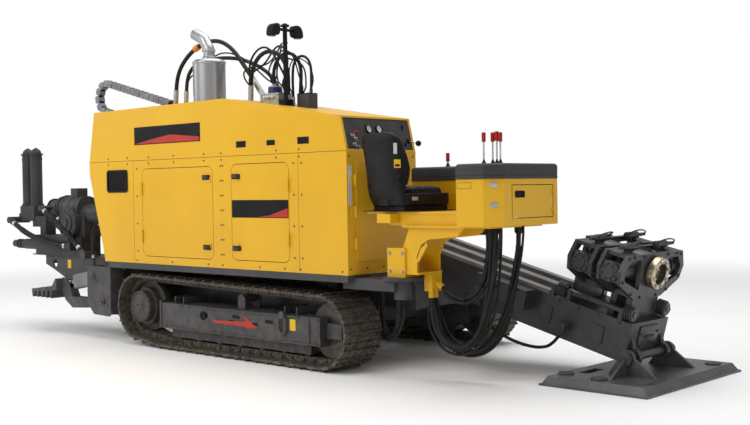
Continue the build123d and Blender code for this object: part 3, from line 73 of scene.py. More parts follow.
# Finishes. Each has two colours that a broad noise mixes, a roughness range from a finer noise,
# and a bump. soil is how much dust gathers near the ground.
finishes = {
    "bodyPaint": dict(tone=(.76, .425, .010), dusk=(.71, .39, .009), scale=1.6, rough=(.30, .44),
                      grain=260, bump=.02, soil=.05, coat=.12, gloss=.3),
    "framePaint": dict(tone=(.066, .065, .069), dusk=(.048, .047, .050), scale=3.5, rough=(.42, .62),
                       grain=320, bump=.05, soil=.35),
    "mastPaint": dict(tone=(.026, .027, .031), dusk=(.038, .039, .043), scale=4, rough=(.28, .46),
                      grain=300, bump=.05, soil=.10, gloss=.5),
    "platePaint": dict(tone=(.075, .080, .088), dusk=(.052, .055, .060), scale=5, rough=(.26, .46),
                       grain=280, bump=.05, soil=.18, gloss=.5),
    "pumpPaint": dict(tone=(.042, .041, .042), dusk=(.028, .0275, .028), scale=6, rough=(.4, .62),
                      grain=240, bump=.08, soil=.15),
    "barrelPaint": dict(tone=(.20, .20, .205), dusk=(.15, .15, .155), scale=6, rough=(.34, .5),
                        grain=260, bump=.04, soil=.2),
    "trackIron": dict(tone=(.042, .038, .034), dusk=(.078, .066, .054), scale=9, rough=(.5, .78),
                      grain=150, bump=.22, soil=.8, metal=.25),
    "wheelIron": dict(tone=(.07, .068, .07), dusk=(.10, .09, .08), scale=10, rough=(.4, .66),
                      grain=180, bump=.12, soil=.5, metal=.5),
    "coverPlastic": dict(tone=(.045, .045, .048), dusk=(.036, .036, .038), scale=8, rough=(.5, .66),
                         grain=700, bump=.12, soil=.04),
    "blackPlastic": dict(tone=(.009, .009, .010), dusk=(.014, .014, .015), scale=9, rough=(.42, .58),
                         grain=500, bump=.06, soil=.03, gloss=.10),
    "seatVinyl": dict(tone=(.008, .008, .009), dusk=(.013, .013, .014), scale=7, rough=(.40, .55),
                      grain=900, bump=.2, soil=.02, cells=True, gloss=.14),
    "hoseRubber": dict(tone=(.010, .010, .011), dusk=(.018, .0175, .017), scale=14, rough=(.42, .6),
                       grain=420, bump=.12, soil=.06, gloss=.2),
    "chainPlastic": dict(tone=(.24, .245, .26), dusk=(.15, .155, .165), scale=7, rough=(.36, .52),
                         grain=380, bump=.05, soil=.08),
    "silencerSteel": dict(tone=(.40, .40, .41), dusk=(.30, .30, .31), scale=3, rough=(.30, .44),
                          grain=160, bump=.03, soil=.02, metal=1, streak=(1, 1, .03)),
    "zincSteel": dict(tone=(.60, .60, .60), dusk=(.42, .41, .40), scale=12, rough=(.26, .44),
                      grain=260, bump=.04, soil=.05, metal=1),
    "goldZinc": dict(tone=(.66, .56, .36), dusk=(.50, .43, .30), scale=10, rough=(.28, .44),
                     grain=240, bump=.04, soil=.05, metal=1),
    "chromeRod": dict(tone=(.72, .72, .73), dusk=(.6, .6, .62), scale=5, rough=(.08, .18),
                      grain=200, bump=.01, soil=.02, metal=1),
    "redPlastic": dict(tone=(.42, .018, .014), dusk=(.33, .014, .012), scale=20, rough=(.26, .38),
                       grain=400, bump=.02, soil=.02),
    "redPaint": dict(tone=(.50, .03, .02), dusk=(.38, .03, .02), scale=12, rough=(.35, .5),
                     grain=300, bump=.03, soil=.2),
    "bluePlastic": dict(tone=(.012, .022, .14), dusk=(.01, .016, .09), scale=16, rough=(.3, .44),
                        grain=380, bump=.03, soil=.04),
    "signYellow": dict(tone=(.86, .56, .02), dusk=(.78, .48, .018), scale=14, rough=(.35, .5),
                       grain=500, bump=.01, soil=.08),
    "paleBlank": dict(tone=(.68, .67, .64), dusk=(.58, .57, .55), scale=12, rough=(.35, .5),
                      grain=500, bump=.01, soil=.06),
    "blockAlloy": dict(tone=(.46, .46, .42), dusk=(.34, .34, .31), scale=14, rough=(.36, .54),
                       grain=300, bump=.08, soil=.05, metal=.7),
    "orangePaint": dict(tone=(.70, .20, .02), dusk=(.55, .16, .02), scale=12, rough=(.35, .5),
                        grain=300, bump=.03, soil=.1),
    "dashPaint": dict(tone=(.055, .056, .06), dusk=(.04, .04, .044), scale=9, rough=(.42, .6),
                      grain=420, bump=.05, soil=.03),
    "smokedGlass": dict(tone=(.06, .062, .065), dusk=(.04, .042, .045), scale=30, rough=(.05, .12),
                      grain=120, bump=.15, soil=.02),
    "clayFloor": dict(tone=(.93, .93, .93), dusk=(.91, .91, .91), scale=.5, rough=(.7, .85),
                      grain=60, bump=.02, soil=0),
}


def makeFinish(name, s):
    # Colour: two tones mixed by a broad noise, then dust that fades out with height.
    # Roughness: a finer noise between two limits. Bump: the grain, as noise or as leather cells.
    material = bpy.data.materials.new(name)
    material.use_nodes = True
    tree = material.node_tree
    add, link = tree.nodes.new, tree.links.new
    shader = tree.nodes["Principled BSDF"]
    where = add("ShaderNodeTexCoord")
    stretch = add("ShaderNodeMapping")
    stretch.inputs["Scale"].default_value = s.get("streak", (1, 1, 1))
    link(where.outputs["Object"], stretch.inputs["Vector"])

    def noise(scale, detail):
        # Fractal noise of the place
        node = add("ShaderNodeTexNoise")
        node.inputs["Scale"].default_value = scale
        node.inputs["Detail"].default_value = detail
        link(stretch.outputs["Vector"], node.inputs["Vector"])
        return node.outputs["Fac"]

    def spread(value, low, high, outLow=0.0, outHigh=1.0):
        # The run from low to high laid evenly on outLow to outHigh
        node = add("ShaderNodeMapRange")
        for key, number in zip(("From Min", "From Max", "To Min", "To Max"), (low, high, outLow, outHigh)):
            node.inputs[key].default_value = number
        link(value, node.inputs["Value"])
        return node.outputs["Result"]

    def mixColour(factor, first, second):
        # first * (1 - factor) + second * factor
        node = add("ShaderNodeMix")
        node.data_type = "RGBA"
        link(factor, node.inputs["Factor"])
        for socket, colour in ((node.inputs["A"], first), (node.inputs["B"], second)):
            if isinstance(colour, tuple):
                socket.default_value = (*colour, 1)
            else:
                link(colour, socket)
        return node.outputs["Result"]

    colour = mixColour(spread(noise(s["scale"], 5), .35, .65), s["tone"], s["dusk"])
    if s["soil"]:
        height = add("ShaderNodeSeparateXYZ")
        link(where.outputs["Object"], height.inputs["Vector"])
        low = spread(height.outputs["Z"], 0, .9, s["soil"], .06 * s["soil"])
        patches = spread(noise(s["scale"] * 4, 8), .42, .68)
        both = add("ShaderNodeMath")
        both.operation = "MULTIPLY"
        link(low, both.inputs[0])
        link(patches, both.inputs[1])
        colour = mixColour(both.outputs["Value"], colour, (.23, .185, .135))
    link(colour, shader.inputs["Base Color"])
    link(spread(noise(s["scale"] * 9, 4), .3, .7, *s["rough"]), shader.inputs["Roughness"])
    shader.inputs["Metallic"].default_value = s.get("metal", 0)
    shader.inputs["Specular IOR Level"].default_value = s.get("gloss", .28)
    shader.inputs["Coat Weight"].default_value = s.get("coat", 0)
    shader.inputs["Coat Roughness"].default_value = .12
    if s.get("cells"):
        grain = add("ShaderNodeTexVoronoi")
        grain.inputs["Scale"].default_value = s["grain"]
        link(stretch.outputs["Vector"], grain.inputs["Vector"])
        relief = grain.outputs["Distance"]
    else:
        relief = noise(s["grain"], 3)
    bump = add("ShaderNodeBump")
    bump.inputs["Strength"].default_value = s["bump"]
    bump.inputs["Distance"].default_value = .002
    link(relief, bump.inputs["Height"])
    link(bump.outputs["Normal"], shader.inputs["Normal"])
    return material


paint = {name: makeFinish(name, settings) for name, settings in finishes.items()}

nodeFinish = {
    "bodyPaint": "hood_lower hood_upper hood_door_front hood_door_rear station_arm console_box console_door",
    "framePaint": "chassis_frame hood_floor track_frame_left track_frame_right side_deck rear_deck"
                  " outrigger_leg_left outrigger_leg_right"
                  " lift_barrels",
    "mastPaint": "mast_beam front_vise rear_vise guide_bars head_carriage drill_gearbox lamp_mast roof_box",
    "trackIron": "track_left track_right",
    "wheelIron": "track_wheels_left track_wheels_right",
    "pumpPaint": "mud_pump engine_block",
    "barrelPaint": "outrigger_barrel_left outrigger_barrel_right mast_rails",
    "platePaint": "anchor_plate",
    "coverPlastic": "console_cover",
    "dashPaint": "dash_panel",
    "blackPlastic": "seat_shell",
    "chainPlastic": "drag_chain",
    "silencerSteel": "muffler",
    "zincSteel": "drill_spindle control_levers",
    "blockAlloy": "roof_valve",
    "chromeRod": "lift_rods outrigger_rod_left outrigger_rod_right",
}
for finish, names in nodeFinish.items():
    for node in names.split():
        mesh = cadNodes[node].data
        mesh.materials.clear()
        mesh.materials.append(paint[finish])
print("finishes made:", len(paint))

# Hoses: body, radius, length, then the route's points
hoses = {
    "roof_hose_1": ("chassis", .019, 1.426, (
        (-1.040, -.600, 2.340), (-1.028, -.600, 2.445), (-.950, -.600, 2.570), (-.795, -.600, 2.680),
        (-.590, -.600, 2.745), (-.390, -.600, 2.740), (-.215, -.600, 2.650), (-.075, -.600, 2.505),
        (.045, -.600, 2.370))),
    "roof_hose_2": ("chassis", .017, 1.560, (
        (-.970, -.535, 2.330), (-.962, -.535, 2.430), (-.905, -.535, 2.520), (-.800, -.535, 2.572),
        (-.660, -.535, 2.592), (-.450, -.535, 2.594), (-.230, -.535, 2.570), (-.020, -.535, 2.510),
        (.150, -.535, 2.430), (.266, -.535, 2.337), (.332, -.535, 2.242))),
    "roof_hose_3": ("chassis", .018, .920, (
        (.122, -.680, 2.290), (.127, -.680, 2.392), (.188, -.680, 2.500), (.296, -.680, 2.564),
        (.420, -.680, 2.560), (.527, -.680, 2.498), (.588, -.680, 2.392), (.596, -.680, 2.285),
        (.590, -.680, 2.180))),
    "roof_hose_4": ("chassis", .015, .826, (
        (.352, -.622, 2.290), (.350, -.622, 2.352), (.354, -.622, 2.418), (.398, -.622, 2.493),
        (.474, -.622, 2.537), (.564, -.622, 2.536), (.641, -.622, 2.490), (.686, -.622, 2.413),
        (.690, -.622, 2.330), (.682, -.622, 2.240), (.672, -.622, 2.150))),
    "roof_hose_5": ("chassis", .011, .723, (
        (.627, -.655, 2.160), (.624, -.655, 2.224), (.622, -.655, 2.290), (.624, -.655, 2.354),
        (.630, -.655, 2.414), (.656, -.654, 2.464), (.704, -.653, 2.492), (.759, -.652, 2.490),
        (.806, -.651, 2.460), (.834, -.650, 2.408), (.840, -.650, 2.345), (.839, -.650, 2.282),
        (.836, -.650, 2.215))),
    "pump_hose_1": ("chassis", .026, 1.113, (
        (-3.560, -.900, 1.085), (-3.400, -.900, 1.012), (-3.215, -.900, .952), (-3.020, -.900, .908),
        (-2.820, -.900, .878), (-2.640, -.900, .863), (-2.480, -.900, .857))),
    "pump_hose_2": ("chassis", .022, .811, (
        (-2.890, -.930, 1.222), (-2.755, -.930, 1.160), (-2.610, -.930, 1.080), (-2.450, -.930, .992),
        (-2.310, -.930, .900), (-2.190, -.930, .815))),
    "outrigger_hose_1": ("chassis", .011, .417, (
        (-1.870, -1.000, .745), (-1.876, -1.000, .830), (-1.886, -.992, .915), (-1.892, -.970, 1.000),
        (-1.890, -.930, 1.070), (-1.884, -.870, 1.120))),
    "station_hose_1": ("station", .018, .789, (
        (2.275, -.740, .668), (2.365, -.740, .612), (2.465, -.740, .592), (2.560, -.740, .625),
        (2.630, -.740, .705), (2.675, -.740, .815), (2.697, -.740, .940), (2.700, -.740, 1.075))),
    "station_hose_2": ("station", .018, 1.466, (
        (2.185, -.760, .590), (2.188, -.760, .478), (2.222, -.760, .355), (2.305, -.760, .262),
        (2.428, -.760, .230), (2.545, -.760, .265), (2.632, -.760, .355), (2.690, -.760, .480),
        (2.728, -.760, .630), (2.752, -.760, .785), (2.768, -.760, .935), (2.771, -.760, 1.075))),
    "station_hose_3": ("station", .017, 1.571, (
        (2.185, -.714, .590), (2.188, -.711, .478), (2.216, -.703, .350), (2.296, -.685, .248),
        (2.418, -.660, .200), (2.545, -.640, .222), (2.650, -.622, .305), (2.730, -.612, .425),
        (2.785, -.606, .575), (2.822, -.602, .740), (2.846, -.600, .910), (2.850, -.600, 1.075))),
    "belly_hose_1": ("chassis", .015, .882, (
        (1.930, -.830, .590), (1.928, -.825, .485), (1.895, -.805, .370), (1.812, -.765, .285),
        (1.705, -.710, .262), (1.612, -.662, .305), (1.562, -.625, .395), (1.548, -.605, .490),
        (1.548, -.600, .590))),
}
mastAxes = {"pivot": (1.250, .520), "tilt": 14.5}
mastRoute = (
    (.900, -.165, .250), (.903, -.165, .165), (.960, -.165, .090), (1.080, -.165, .048), (1.230, -.165, .030),
    (1.380, -.165, .034), (1.510, -.165, .062), (1.600, -.165, .120), (1.640, -.165, .210))


def onMast(points):
    # Points along, across and up from the mast's pivot, turned nose down by its tilt
    p = np.asarray(points, float)
    t = math.radians(mastAxes["tilt"])
    x = mastAxes["pivot"][0] + p[..., 0] * math.cos(t) + p[..., 2] * math.sin(t)
    z = mastAxes["pivot"][1] - p[..., 0] * math.sin(t) + p[..., 2] * math.cos(t)
    return np.stack([x, p[..., 1], z], -1)


def layHose(name, body, radius, route):
    # A smooth curve of the second degree drawn by the route's points, thickened by a round bevel
    curve = bpy.data.curves.new(name + "_rubber", "CURVE")
    curve.dimensions = "3D"
    curve.bevel_depth = radius
    curve.bevel_resolution = 5
    curve.resolution_u = 10
    curve.use_fill_caps = True
    spline = curve.splines.new("NURBS")
    spline.points.add(len(route) - 1)
    for point, place in zip(spline.points, route):
        point.co = (*place, 1)
    spline.order_u = 3
    spline.use_endpoint_u = True
    curve.materials.append(paint["hoseRubber"])
    obj = bpy.data.objects.new(name + "_rubber", curve)
    bpy.context.scene.collection.objects.link(obj)
    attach(obj, body)
    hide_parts(name)
    return obj


hoses["mast_hose_1"] = ("mast", .012, .937, [tuple(p) for p in onMast(mastRoute)])
hoseCurves = {name: layHose(name, body, radius, route) for name, (body, radius, _, route) in hoses.items()}
print("hoses laid:", len(hoseCurves))


# Surfaces as whole arrays. A form is a pair: points, and faces as lists of point numbers
def gridFaces(rows, columns, roundWay):
    # Quads between row i and i + 1, column j and j + 1, the last column joined to the first if roundWay
    i, j = np.meshgrid(np.arange(rows - 1), np.arange(columns if roundWay else columns - 1), indexing="ij")
    k = (j + 1) % columns
    return np.stack([i * columns + j, i * columns + k, (i + 1) * columns + k, (i + 1) * columns + j],
                    -1).reshape(-1, 4)


def skin(grid, capStart=True, capEnd=True):
    # A tube of rings: grid[i, j] is point j of ring i, and each end may be closed by one flat face.
    # The volume is the sum of a . (b x c) / 6 over the triangles; a negative one turns the rings round
    rows, columns = grid.shape[:2]
    quads = gridFaces(rows, columns, True)
    p = grid.reshape(-1, 3) - grid.reshape(-1, 3).mean(0)
    a, b, c, d = (p[quads[:, n]] for n in range(4))
    volume = np.einsum("ij,ij->", a, np.cross(b, c)) + np.einsum("ij,ij->", a, np.cross(c, d))
    for ring, sign in ((p[:columns], -1), (p[-columns:], 1)):
        volume += sign * np.einsum("ij,ij->", ring,
                                   np.cross(np.roll(ring, -1, 0), np.broadcast_to(ring.mean(0), ring.shape)))
    if volume < 0:
        grid = grid[:, ::-1]
    faces = quads.tolist()
    if capStart:
        faces.append(list(range(columns))[::-1])
    if capEnd:
        faces.append(list(range((rows - 1) * columns, rows * columns)))
    return grid.reshape(-1, 3), faces


def joined(forms):
    # The forms' points one after the other; face numbers grow by the points that come before
    points, faces, shift = [], [], 0
    for p, f in forms:
        points.append(p)
        faces += [[n + shift for n in face] for face in f]
        shift += len(p)
    return np.concatenate(points), faces


def axisFrame(direction):
    # Two directions square to the given one, and to each other
    d = np.asarray(direction, float) / np.linalg.norm(direction)
    side = np.cross(d, (0, 0, 1) if abs(d[2]) < .9 else (1, 0, 0))
    side /= np.linalg.norm(side)
    return d, side, np.cross(d, side)


def turned(profile, start, direction, sides=40):
    # Point (s, r) of the profile goes to start + s along the axis + r (cos t, sin t) across it
    d, a, b = axisFrame(direction)
    s, r = np.asarray(profile, float).T
    t = np.linspace(0, 2 * math.pi, sides, endpoint=False)
    ring = np.cos(t)[:, None] * a + np.sin(t)[:, None] * b
    return skin(np.asarray(start) + s[:, None, None] * d + r[:, None, None] * ring[None])


def ringOutline(width, height, corner, steps=5):
    # A rectangle with quarter circles at its corners, round from the first quarter
    t = np.linspace(0, math.pi / 2, steps)
    quarter = np.stack([np.cos(t), np.sin(t)], -1) * corner
    core = np.array([(1, 1), (-1, 1), (-1, -1), (1, -1)]) * (width / 2 - corner, height / 2 - corner)
    turns = [np.array([[math.cos(a), math.sin(a)], [-math.sin(a), math.cos(a)]])
             for a in np.arange(4) * math.pi / 2]
    return np.concatenate([quarter @ m + c for m, c in zip(turns, core)])


def atLevel(flat, axis, level, shift=(0, 0)):
    # A flat outline set at one level of the axis; its own two directions lie along the other two axes
    columns = [flat[:, 0] + shift[0], flat[:, 1] + shift[1]]
    columns.insert("xyz".index(axis), np.full(len(flat), level))
    return np.column_stack(columns)


def slab(centre, size, corner, bevel=.002, axis="z", steps=5):
    # A rounded rectangle carried through its thickness, drawn in by the bevel at both faces
    order = {"x": (1, 2, 0), "y": (2, 0, 1), "z": (0, 1, 2)}[axis]
    width, height, depth = (size[n] for n in order)
    rings = []
    for inset, h in ((bevel, -depth / 2), (0, bevel - depth / 2), (0, depth / 2 - bevel), (bevel, depth / 2)):
        flat = ringOutline(width - 2 * inset, height - 2 * inset, max(corner - inset, 1e-4), steps)
        rings.append(atLevel(flat, "z", h))
    grid = np.stack(rings)
    out = np.empty_like(grid)
    for source, target in enumerate(order):
        out[..., target] = grid[..., source]
    return skin(out + np.asarray(centre))


def pathFrames(path):
    # Tangents by central differences, and one side direction carried along without twist
    p = np.asarray(path, float)
    tangent = np.gradient(p, axis=0)
    tangent /= np.linalg.norm(tangent, axis=1)[:, None]
    side = np.empty_like(p)
    _, side[0], _ = axisFrame(tangent[0])
    for n in range(1, len(p)):
        s = side[n - 1] - tangent[n] * (side[n - 1] @ tangent[n])
        side[n] = s / np.linalg.norm(s)
    return p, tangent, side, np.cross(tangent, side)


def tube(path, radius, sides=14):
    # A circle carried along the path: p(s) + r (cos t side + sin t other)
    p, _, a, b = pathFrames(path)
    t = np.linspace(0, 2 * math.pi, sides, endpoint=False)
    r = np.broadcast_to(np.asarray(radius, float), (len(p),))[:, None, None]
    grid = p[:, None] + r * (np.cos(t)[None, :, None] * a[:, None] + np.sin(t)[None, :, None] * b[:, None])
    return skin(grid)


def bezier(points, count=24):
    # Smooth line through a corner list: the Catmull-Rom curve of its points
    p = np.asarray(points, float)
    p = np.vstack([2 * p[0] - p[1], p, 2 * p[-1] - p[-2]])
    u = np.linspace(0, 1, max(2, count // (len(p) - 3)), endpoint=False)[:, None]
    runs = []
    for a, b, c, d in zip(p, p[1:], p[2:], p[3:]):
        runs.append(.5 * (2 * b + (c - a) * u + (2 * a - 5 * b + 4 * c - d) * u ** 2
                          + (3 * b - a - 3 * c + d) * u ** 3))
    return np.vstack(runs + [p[-2:-1]])


def softenLoop(loop, times=3):
    # Corner cutting: each edge keeps the points at a quarter and three quarters of it
    for _ in range(times):
        after = np.roll(loop, -1, 0)
        loop = np.stack([loop * .75 + after * .25, loop * .25 + after * .75], 1).reshape(-1, 2)
    return loop


def boltHeads(places, outward, radius=.009, height=.006):
    # Six-sided heads on a round washer, one at each place, all as one mesh
    d, a, b = axisFrame(outward)
    places = np.asarray(places, float)
    forms = []
    for sides, r, low, high, ease in ((14, 1.45, 0, .3, 0), (6, 1, .3, 1.3, .12)):
        t = np.linspace(0, 2 * math.pi, sides, endpoint=False)
        ring = np.cos(t)[:, None] * a + np.sin(t)[:, None] * b
        rings = np.stack([ring * radius * r + d * low * height,
                          ring * radius * r + d * (high - ease) * height,
                          ring * radius * (r - ease) + d * high * height])
        for place in places:
            forms.append(skin(place + rings))
    return joined(forms)


def addPiece(name, form, finish, body, flat=False):
    # The form becomes a mesh as it stands; unless flat it is smooth, with edges over 38 degrees sharp
    mesh = bpy.data.meshes.new(name)
    mesh.from_pydata(form[0].tolist(), [], form[1])
    mesh.validate()
    mesh.materials.append(paint[finish])
    if not flat:
        mesh.shade_smooth()
        mesh.set_sharp_from_angle(angle=math.radians(38))
    obj = bpy.data.objects.new(name, mesh)
    bpy.context.scene.collection.objects.link(obj)
    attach(obj, body)
    return obj


# Stage
def makeStage():
    half = 60
    mesh = bpy.data.meshes.new("floor")
    mesh.from_pydata([(-half, -half, 0), (half, -half, 0), (half, half, 0), (-half, half, 0)], [],
                     [(0, 1, 2, 3)])
    mesh.materials.append(paint["clayFloor"])
    floor = bpy.data.objects.new("floor", mesh)
    bpy.context.scene.collection.objects.link(floor)
    # The floor turns into plain white light far out, so that it meets the white studio without a line
    tree = paint["clayFloor"].node_tree
    add, link = tree.nodes.new, tree.links.new
    where, length, ramp = add("ShaderNodeTexCoord"), add("ShaderNodeVectorMath"), add("ShaderNodeMapRange")
    glow, blend = add("ShaderNodeEmission"), add("ShaderNodeMixShader")
    length.operation = "LENGTH"
    ramp.interpolation_type = "SMOOTHSTEP"
    ramp.inputs["From Min"].default_value = 5.5
    ramp.inputs["From Max"].default_value = 13
    link(where.outputs["Object"], length.inputs[0])
    link(length.outputs["Value"], ramp.inputs["Value"])
    link(ramp.outputs["Result"], blend.inputs["Fac"])
    link(tree.nodes["Principled BSDF"].outputs["BSDF"], blend.inputs[1])
    link(glow.outputs["Emission"], blend.inputs[2])
    link(blend.outputs["Shader"], tree.nodes["Material Output"].inputs["Surface"])
    # name, place, aim, size, power
    for name, place, aim, size, power in (
        ("keyLight", (-1.0, -9, 6.5), (0, 0, 1), 5, 330), ("frontLight", (10, -1, 4.5), (1, 0, 1), 4, 30),
        ("topLight", (0, 1, 8.5), (0, 0, 0), 8, 560), ("tailLight", (-9, -5, 5), (-2, 0, 1), 4, 120),
    ):
        data = bpy.data.lights.new(name, "AREA")
        data.size = size
        data.energy = power
        lamp = bpy.data.objects.new(name, data)
        lamp.location = place
        lamp.rotation_euler = (Vector(aim) - Vector(place)).to_track_quat("-Z", "Y").to_euler()
        bpy.context.scene.collection.objects.link(lamp)
    world = bpy.data.worlds.new("studio")
    world.use_nodes = True
    # The studio is white to the camera and dimmer as a light: strength = low + (1 - low) * seen directly
    sky = world.node_tree.nodes["Background"]
    sky.inputs["Color"].default_value = (1, 1, 1, 1)
    rays = world.node_tree.nodes.new("ShaderNodeLightPath")
    blend = world.node_tree.nodes.new("ShaderNodeMapRange")
    blend.inputs["To Min"].default_value = .50
    blend.inputs["To Max"].default_value = 1.0
    world.node_tree.links.new(rays.outputs["Is Camera Ray"], blend.inputs["Value"])
    world.node_tree.links.new(blend.outputs["Result"], sky.inputs["Strength"])
    bpy.context.scene.world = world
    bpy.context.scene.view_settings.view_transform = "Standard"


makeStage()
print("stage set")

# Small bolts on the hood: pairs across the seam, columns beside the doors, one row along the bottom
hoodSide = -1.050
hoodBolts = {
    "pairs": (-1.506, -1.201, -.870, -.499, -.075, .155, .842, 1.104),   # x of each pair at the seam
    "pairHeights": (1.650, 1.706),
    "bottom": (-1.070, -.542, -.039, .155, .624, .923, 1.104, 1.560), "bottomHeight": .772,
    "columns": ((.142, 7), (.172, 7), (-1.054, 4), (1.040, 4), (1.130, 4)),   # x, count up the side
    "columnRise": (.86, 1.60),
    "front": 1.620, "frontAcross": (-1.02, -.30), "frontHeights": (.79, 1.64),
    "joints": ((-1.826, 1.619, 1.6765, 1.6795), (1.0915, 1.0935, .750, 1.676),   # x and z, from and to
               (-1.1115, -1.1095, .750, 1.676)),
    "radius": .0055, "head": .004,
}


def hoodFasteners(s):
    # Bolts in even rows and columns on the hood's side and front planes
    places = [(x, hoodSide, z) for x in s["pairs"] for z in s["pairHeights"]]
    places += [(x, hoodSide, s["bottomHeight"]) for x in s["bottom"]]
    places += [(x, hoodSide, z) for x, count in s["columns"] for z in np.linspace(*s["columnRise"], count)]
    sideHeads = boltHeads(places, (0, -1, 0), s["radius"], s["head"])
    addPiece("hood_side_bolts", sideHeads, "framePaint", "chassis")
    places = [(s["front"], y, z) for y in np.linspace(*s["frontAcross"], 5) for z in s["frontHeights"]]
    frontHeads = boltHeads(places, (1, 0, 0), s["radius"], s["head"])
    addPiece("hood_front_bolts", frontHeads, "framePaint", "chassis")
    # The panels' joints show as thin dark lines
    lines = [slab(((x0 + x1) / 2, hoodSide - .0002, (z0 + z1) / 2), (x1 - x0, .0012, z1 - z0),
                  .0008, .0003, "y")
             for x0, x1, z0, z1 in s["joints"]]
    addPiece("hood_panel_joints", joined(lines), "blackPlastic", "chassis", flat=True)


hoodFasteners(hoodBolts)

# Latches: a rounded black dish with a paddle in it, two on each door
doors = {
    # body: x of the latches, low z, high z
    "hood_door_rear": (-.045, .915, 1.507),
    "hood_door_front": (.345, .917, 1.507),
}
latchShape = {"paddle": (.052, .007, .026), "corner": .006}


def doorLatches(s):
    # At two heights of each door: a rounded slab, a paddle slab and a turned lock
    for body, (x, low, high) in doors.items():
        forms = []
        paddles = []
        for z in (low, high):
            forms.append(slab((x, hoodSide - .006, z), (.098, .012, .042), s["corner"], .003, "y"))
            paddles.append(slab((x - .010, hoodSide - .0145, z), s["paddle"], .005, .002, "y"))
            paddles.append(turned([(0, .0001), (0, .009), (.006, .009), (.008, .006), (.008, .0001)],
                                  (x + .036, hoodSide - .011, z), (0, -1, 0), 20))
        addPiece(body + "_latch_dishes", joined(forms), "blackPlastic", body)
        addPiece(body + "_latch_paddles", joined(paddles), "dashPaint", body)


doorLatches(latchShape)

# Door seals: a thin dark frame that shows in the gap round each door
doorFrames = {"hood_door_rear": (-.972, .033, .817, 1.597), "hood_door_front": (.283, .979, .822, 1.607)}


def doorSeals():
    # Each door's rounded rectangle grown by two amounts at two depths: four rings, closed on the first
    forms = []
    for x0, x1, z0, z1 in doorFrames.values():
        centre = ((x0 + x1) / 2, (z0 + z1) / 2)
        rings = []
        for grow, y in ((.0052, .0070), (.0052, .0265), (.0002, .0265), (.0002, .0070)):
            flat = ringOutline(x1 - x0 + 2 * grow, z1 - z0 + 2 * grow, .06 + grow, 9)
            rings.append(atLevel(flat, "y", hoodSide + y, centre))
        grid = np.stack(rings + rings[:1])
        forms.append((grid.reshape(-1, 3), gridFaces(5, grid.shape[1], True)[:, ::-1].tolist()))
    addPiece("hood_door_seals", joined(forms), "blackPlastic", "chassis")


# Blank plates on the hood's side: body, centre x, centre z, width, height, and a red wedge's corners
hoodPlates = {
    "name_plate": ("chassis", -.600, 1.898, .962, .160,
                   ((-.470, -.072), (.470, -.072), (.470, -.040), (.060, -.004), (-.250, -.040))),
    "door_band": ("hood_door_front", .631, 1.242, .688, .144,
                  ((-.020, -.066), (.338, -.066), (.338, .006), (.120, -.052))),
}


def sidePlates():
    # A thin slab, and its wedge's outline carried outwards over it
    for name, (body, x, z, width, height, wedge) in hoodPlates.items():
        addPiece(name, slab((x, hoodSide - .001, z), (width, .002, height), .004, .0006, "y"),
                 "blackPlastic", body)
        flat = np.array(wedge)
        rings = [atLevel(flat, "y", hoodSide - out, (x, z)) for out in (.0018, .0030)]
        addPiece(name + "_wedge", skin(np.stack(rings)), "redPaint", body, flat=True)


# Air intake panel near the rear edge, and the vent slots above the seam
intake = {"centre": (-1.3625, 1.494), "size": (.330, .209), "blades": 9}


def airPanel(s):
    # Rim: a rounded rectangle at five insets and depths. Blades: one profile at even heights
    x, z = s["centre"]
    width, height = s["size"]
    rim = []
    for grow, y in ((-.022, -.001), (-.022, -.012), (-.004, -.012), (0, -.008), (0, 0)):
        flat = ringOutline(width + 2 * grow, height + 2 * grow, .03 + grow, 8)
        rim.append(atLevel(flat, "y", hoodSide + y, (x, z)))
    grid = np.stack(rim)
    forms = [(grid.reshape(-1, 3), gridFaces(len(rim), grid.shape[1], True)[:, ::-1].tolist())]
    addPiece("air_panel_rim", joined(forms), "blackPlastic", "chassis")
    back = slab((x, hoodSide - .001, z), (width - .04, .002, height - .04), .012, .0005, "y")
    blades = [back]
    for h in np.linspace(z - height / 2 + .03, z + height / 2 - .03, s["blades"]):
        profile = np.array([(-.001, -.008), (-.010, -.001), (-.011, .002), (-.002, -.004)])
        rings = [atLevel(profile, "x", xx, (hoodSide, h))
                 for xx in (x - width / 2 + .023, x + width / 2 - .023)]
        blades.append(skin(np.stack(rings)))
    addPiece("air_panel_blades", joined(blades), "blackPlastic", "chassis")
    slots = []
    for sx, sz, wide, high in ((.414, 1.770, .120, .052), (.780, 1.770, .098, .042),
                               (1.155, 1.773, .128, .054)):
        slots.append(slab((sx, hoodSide - .0015, sz), (wide, .003, high), .004, .001, "y"))
        slots += [slab((sx, hoodSide - .0035, sz + h), (wide - .014, .002, .005), .002, .0006, "y")
                  for h in (-.012, 0, .012)]
    addPiece("vent_slots", joined(slots), "blackPlastic", "chassis")


doorSeals()
sidePlates()
airPanel(intake)

# Front face: service door outline, its hinges and a blank strip
frontFace = {"x": 1.620, "door": (-.960, -.350, .840, 1.600)}


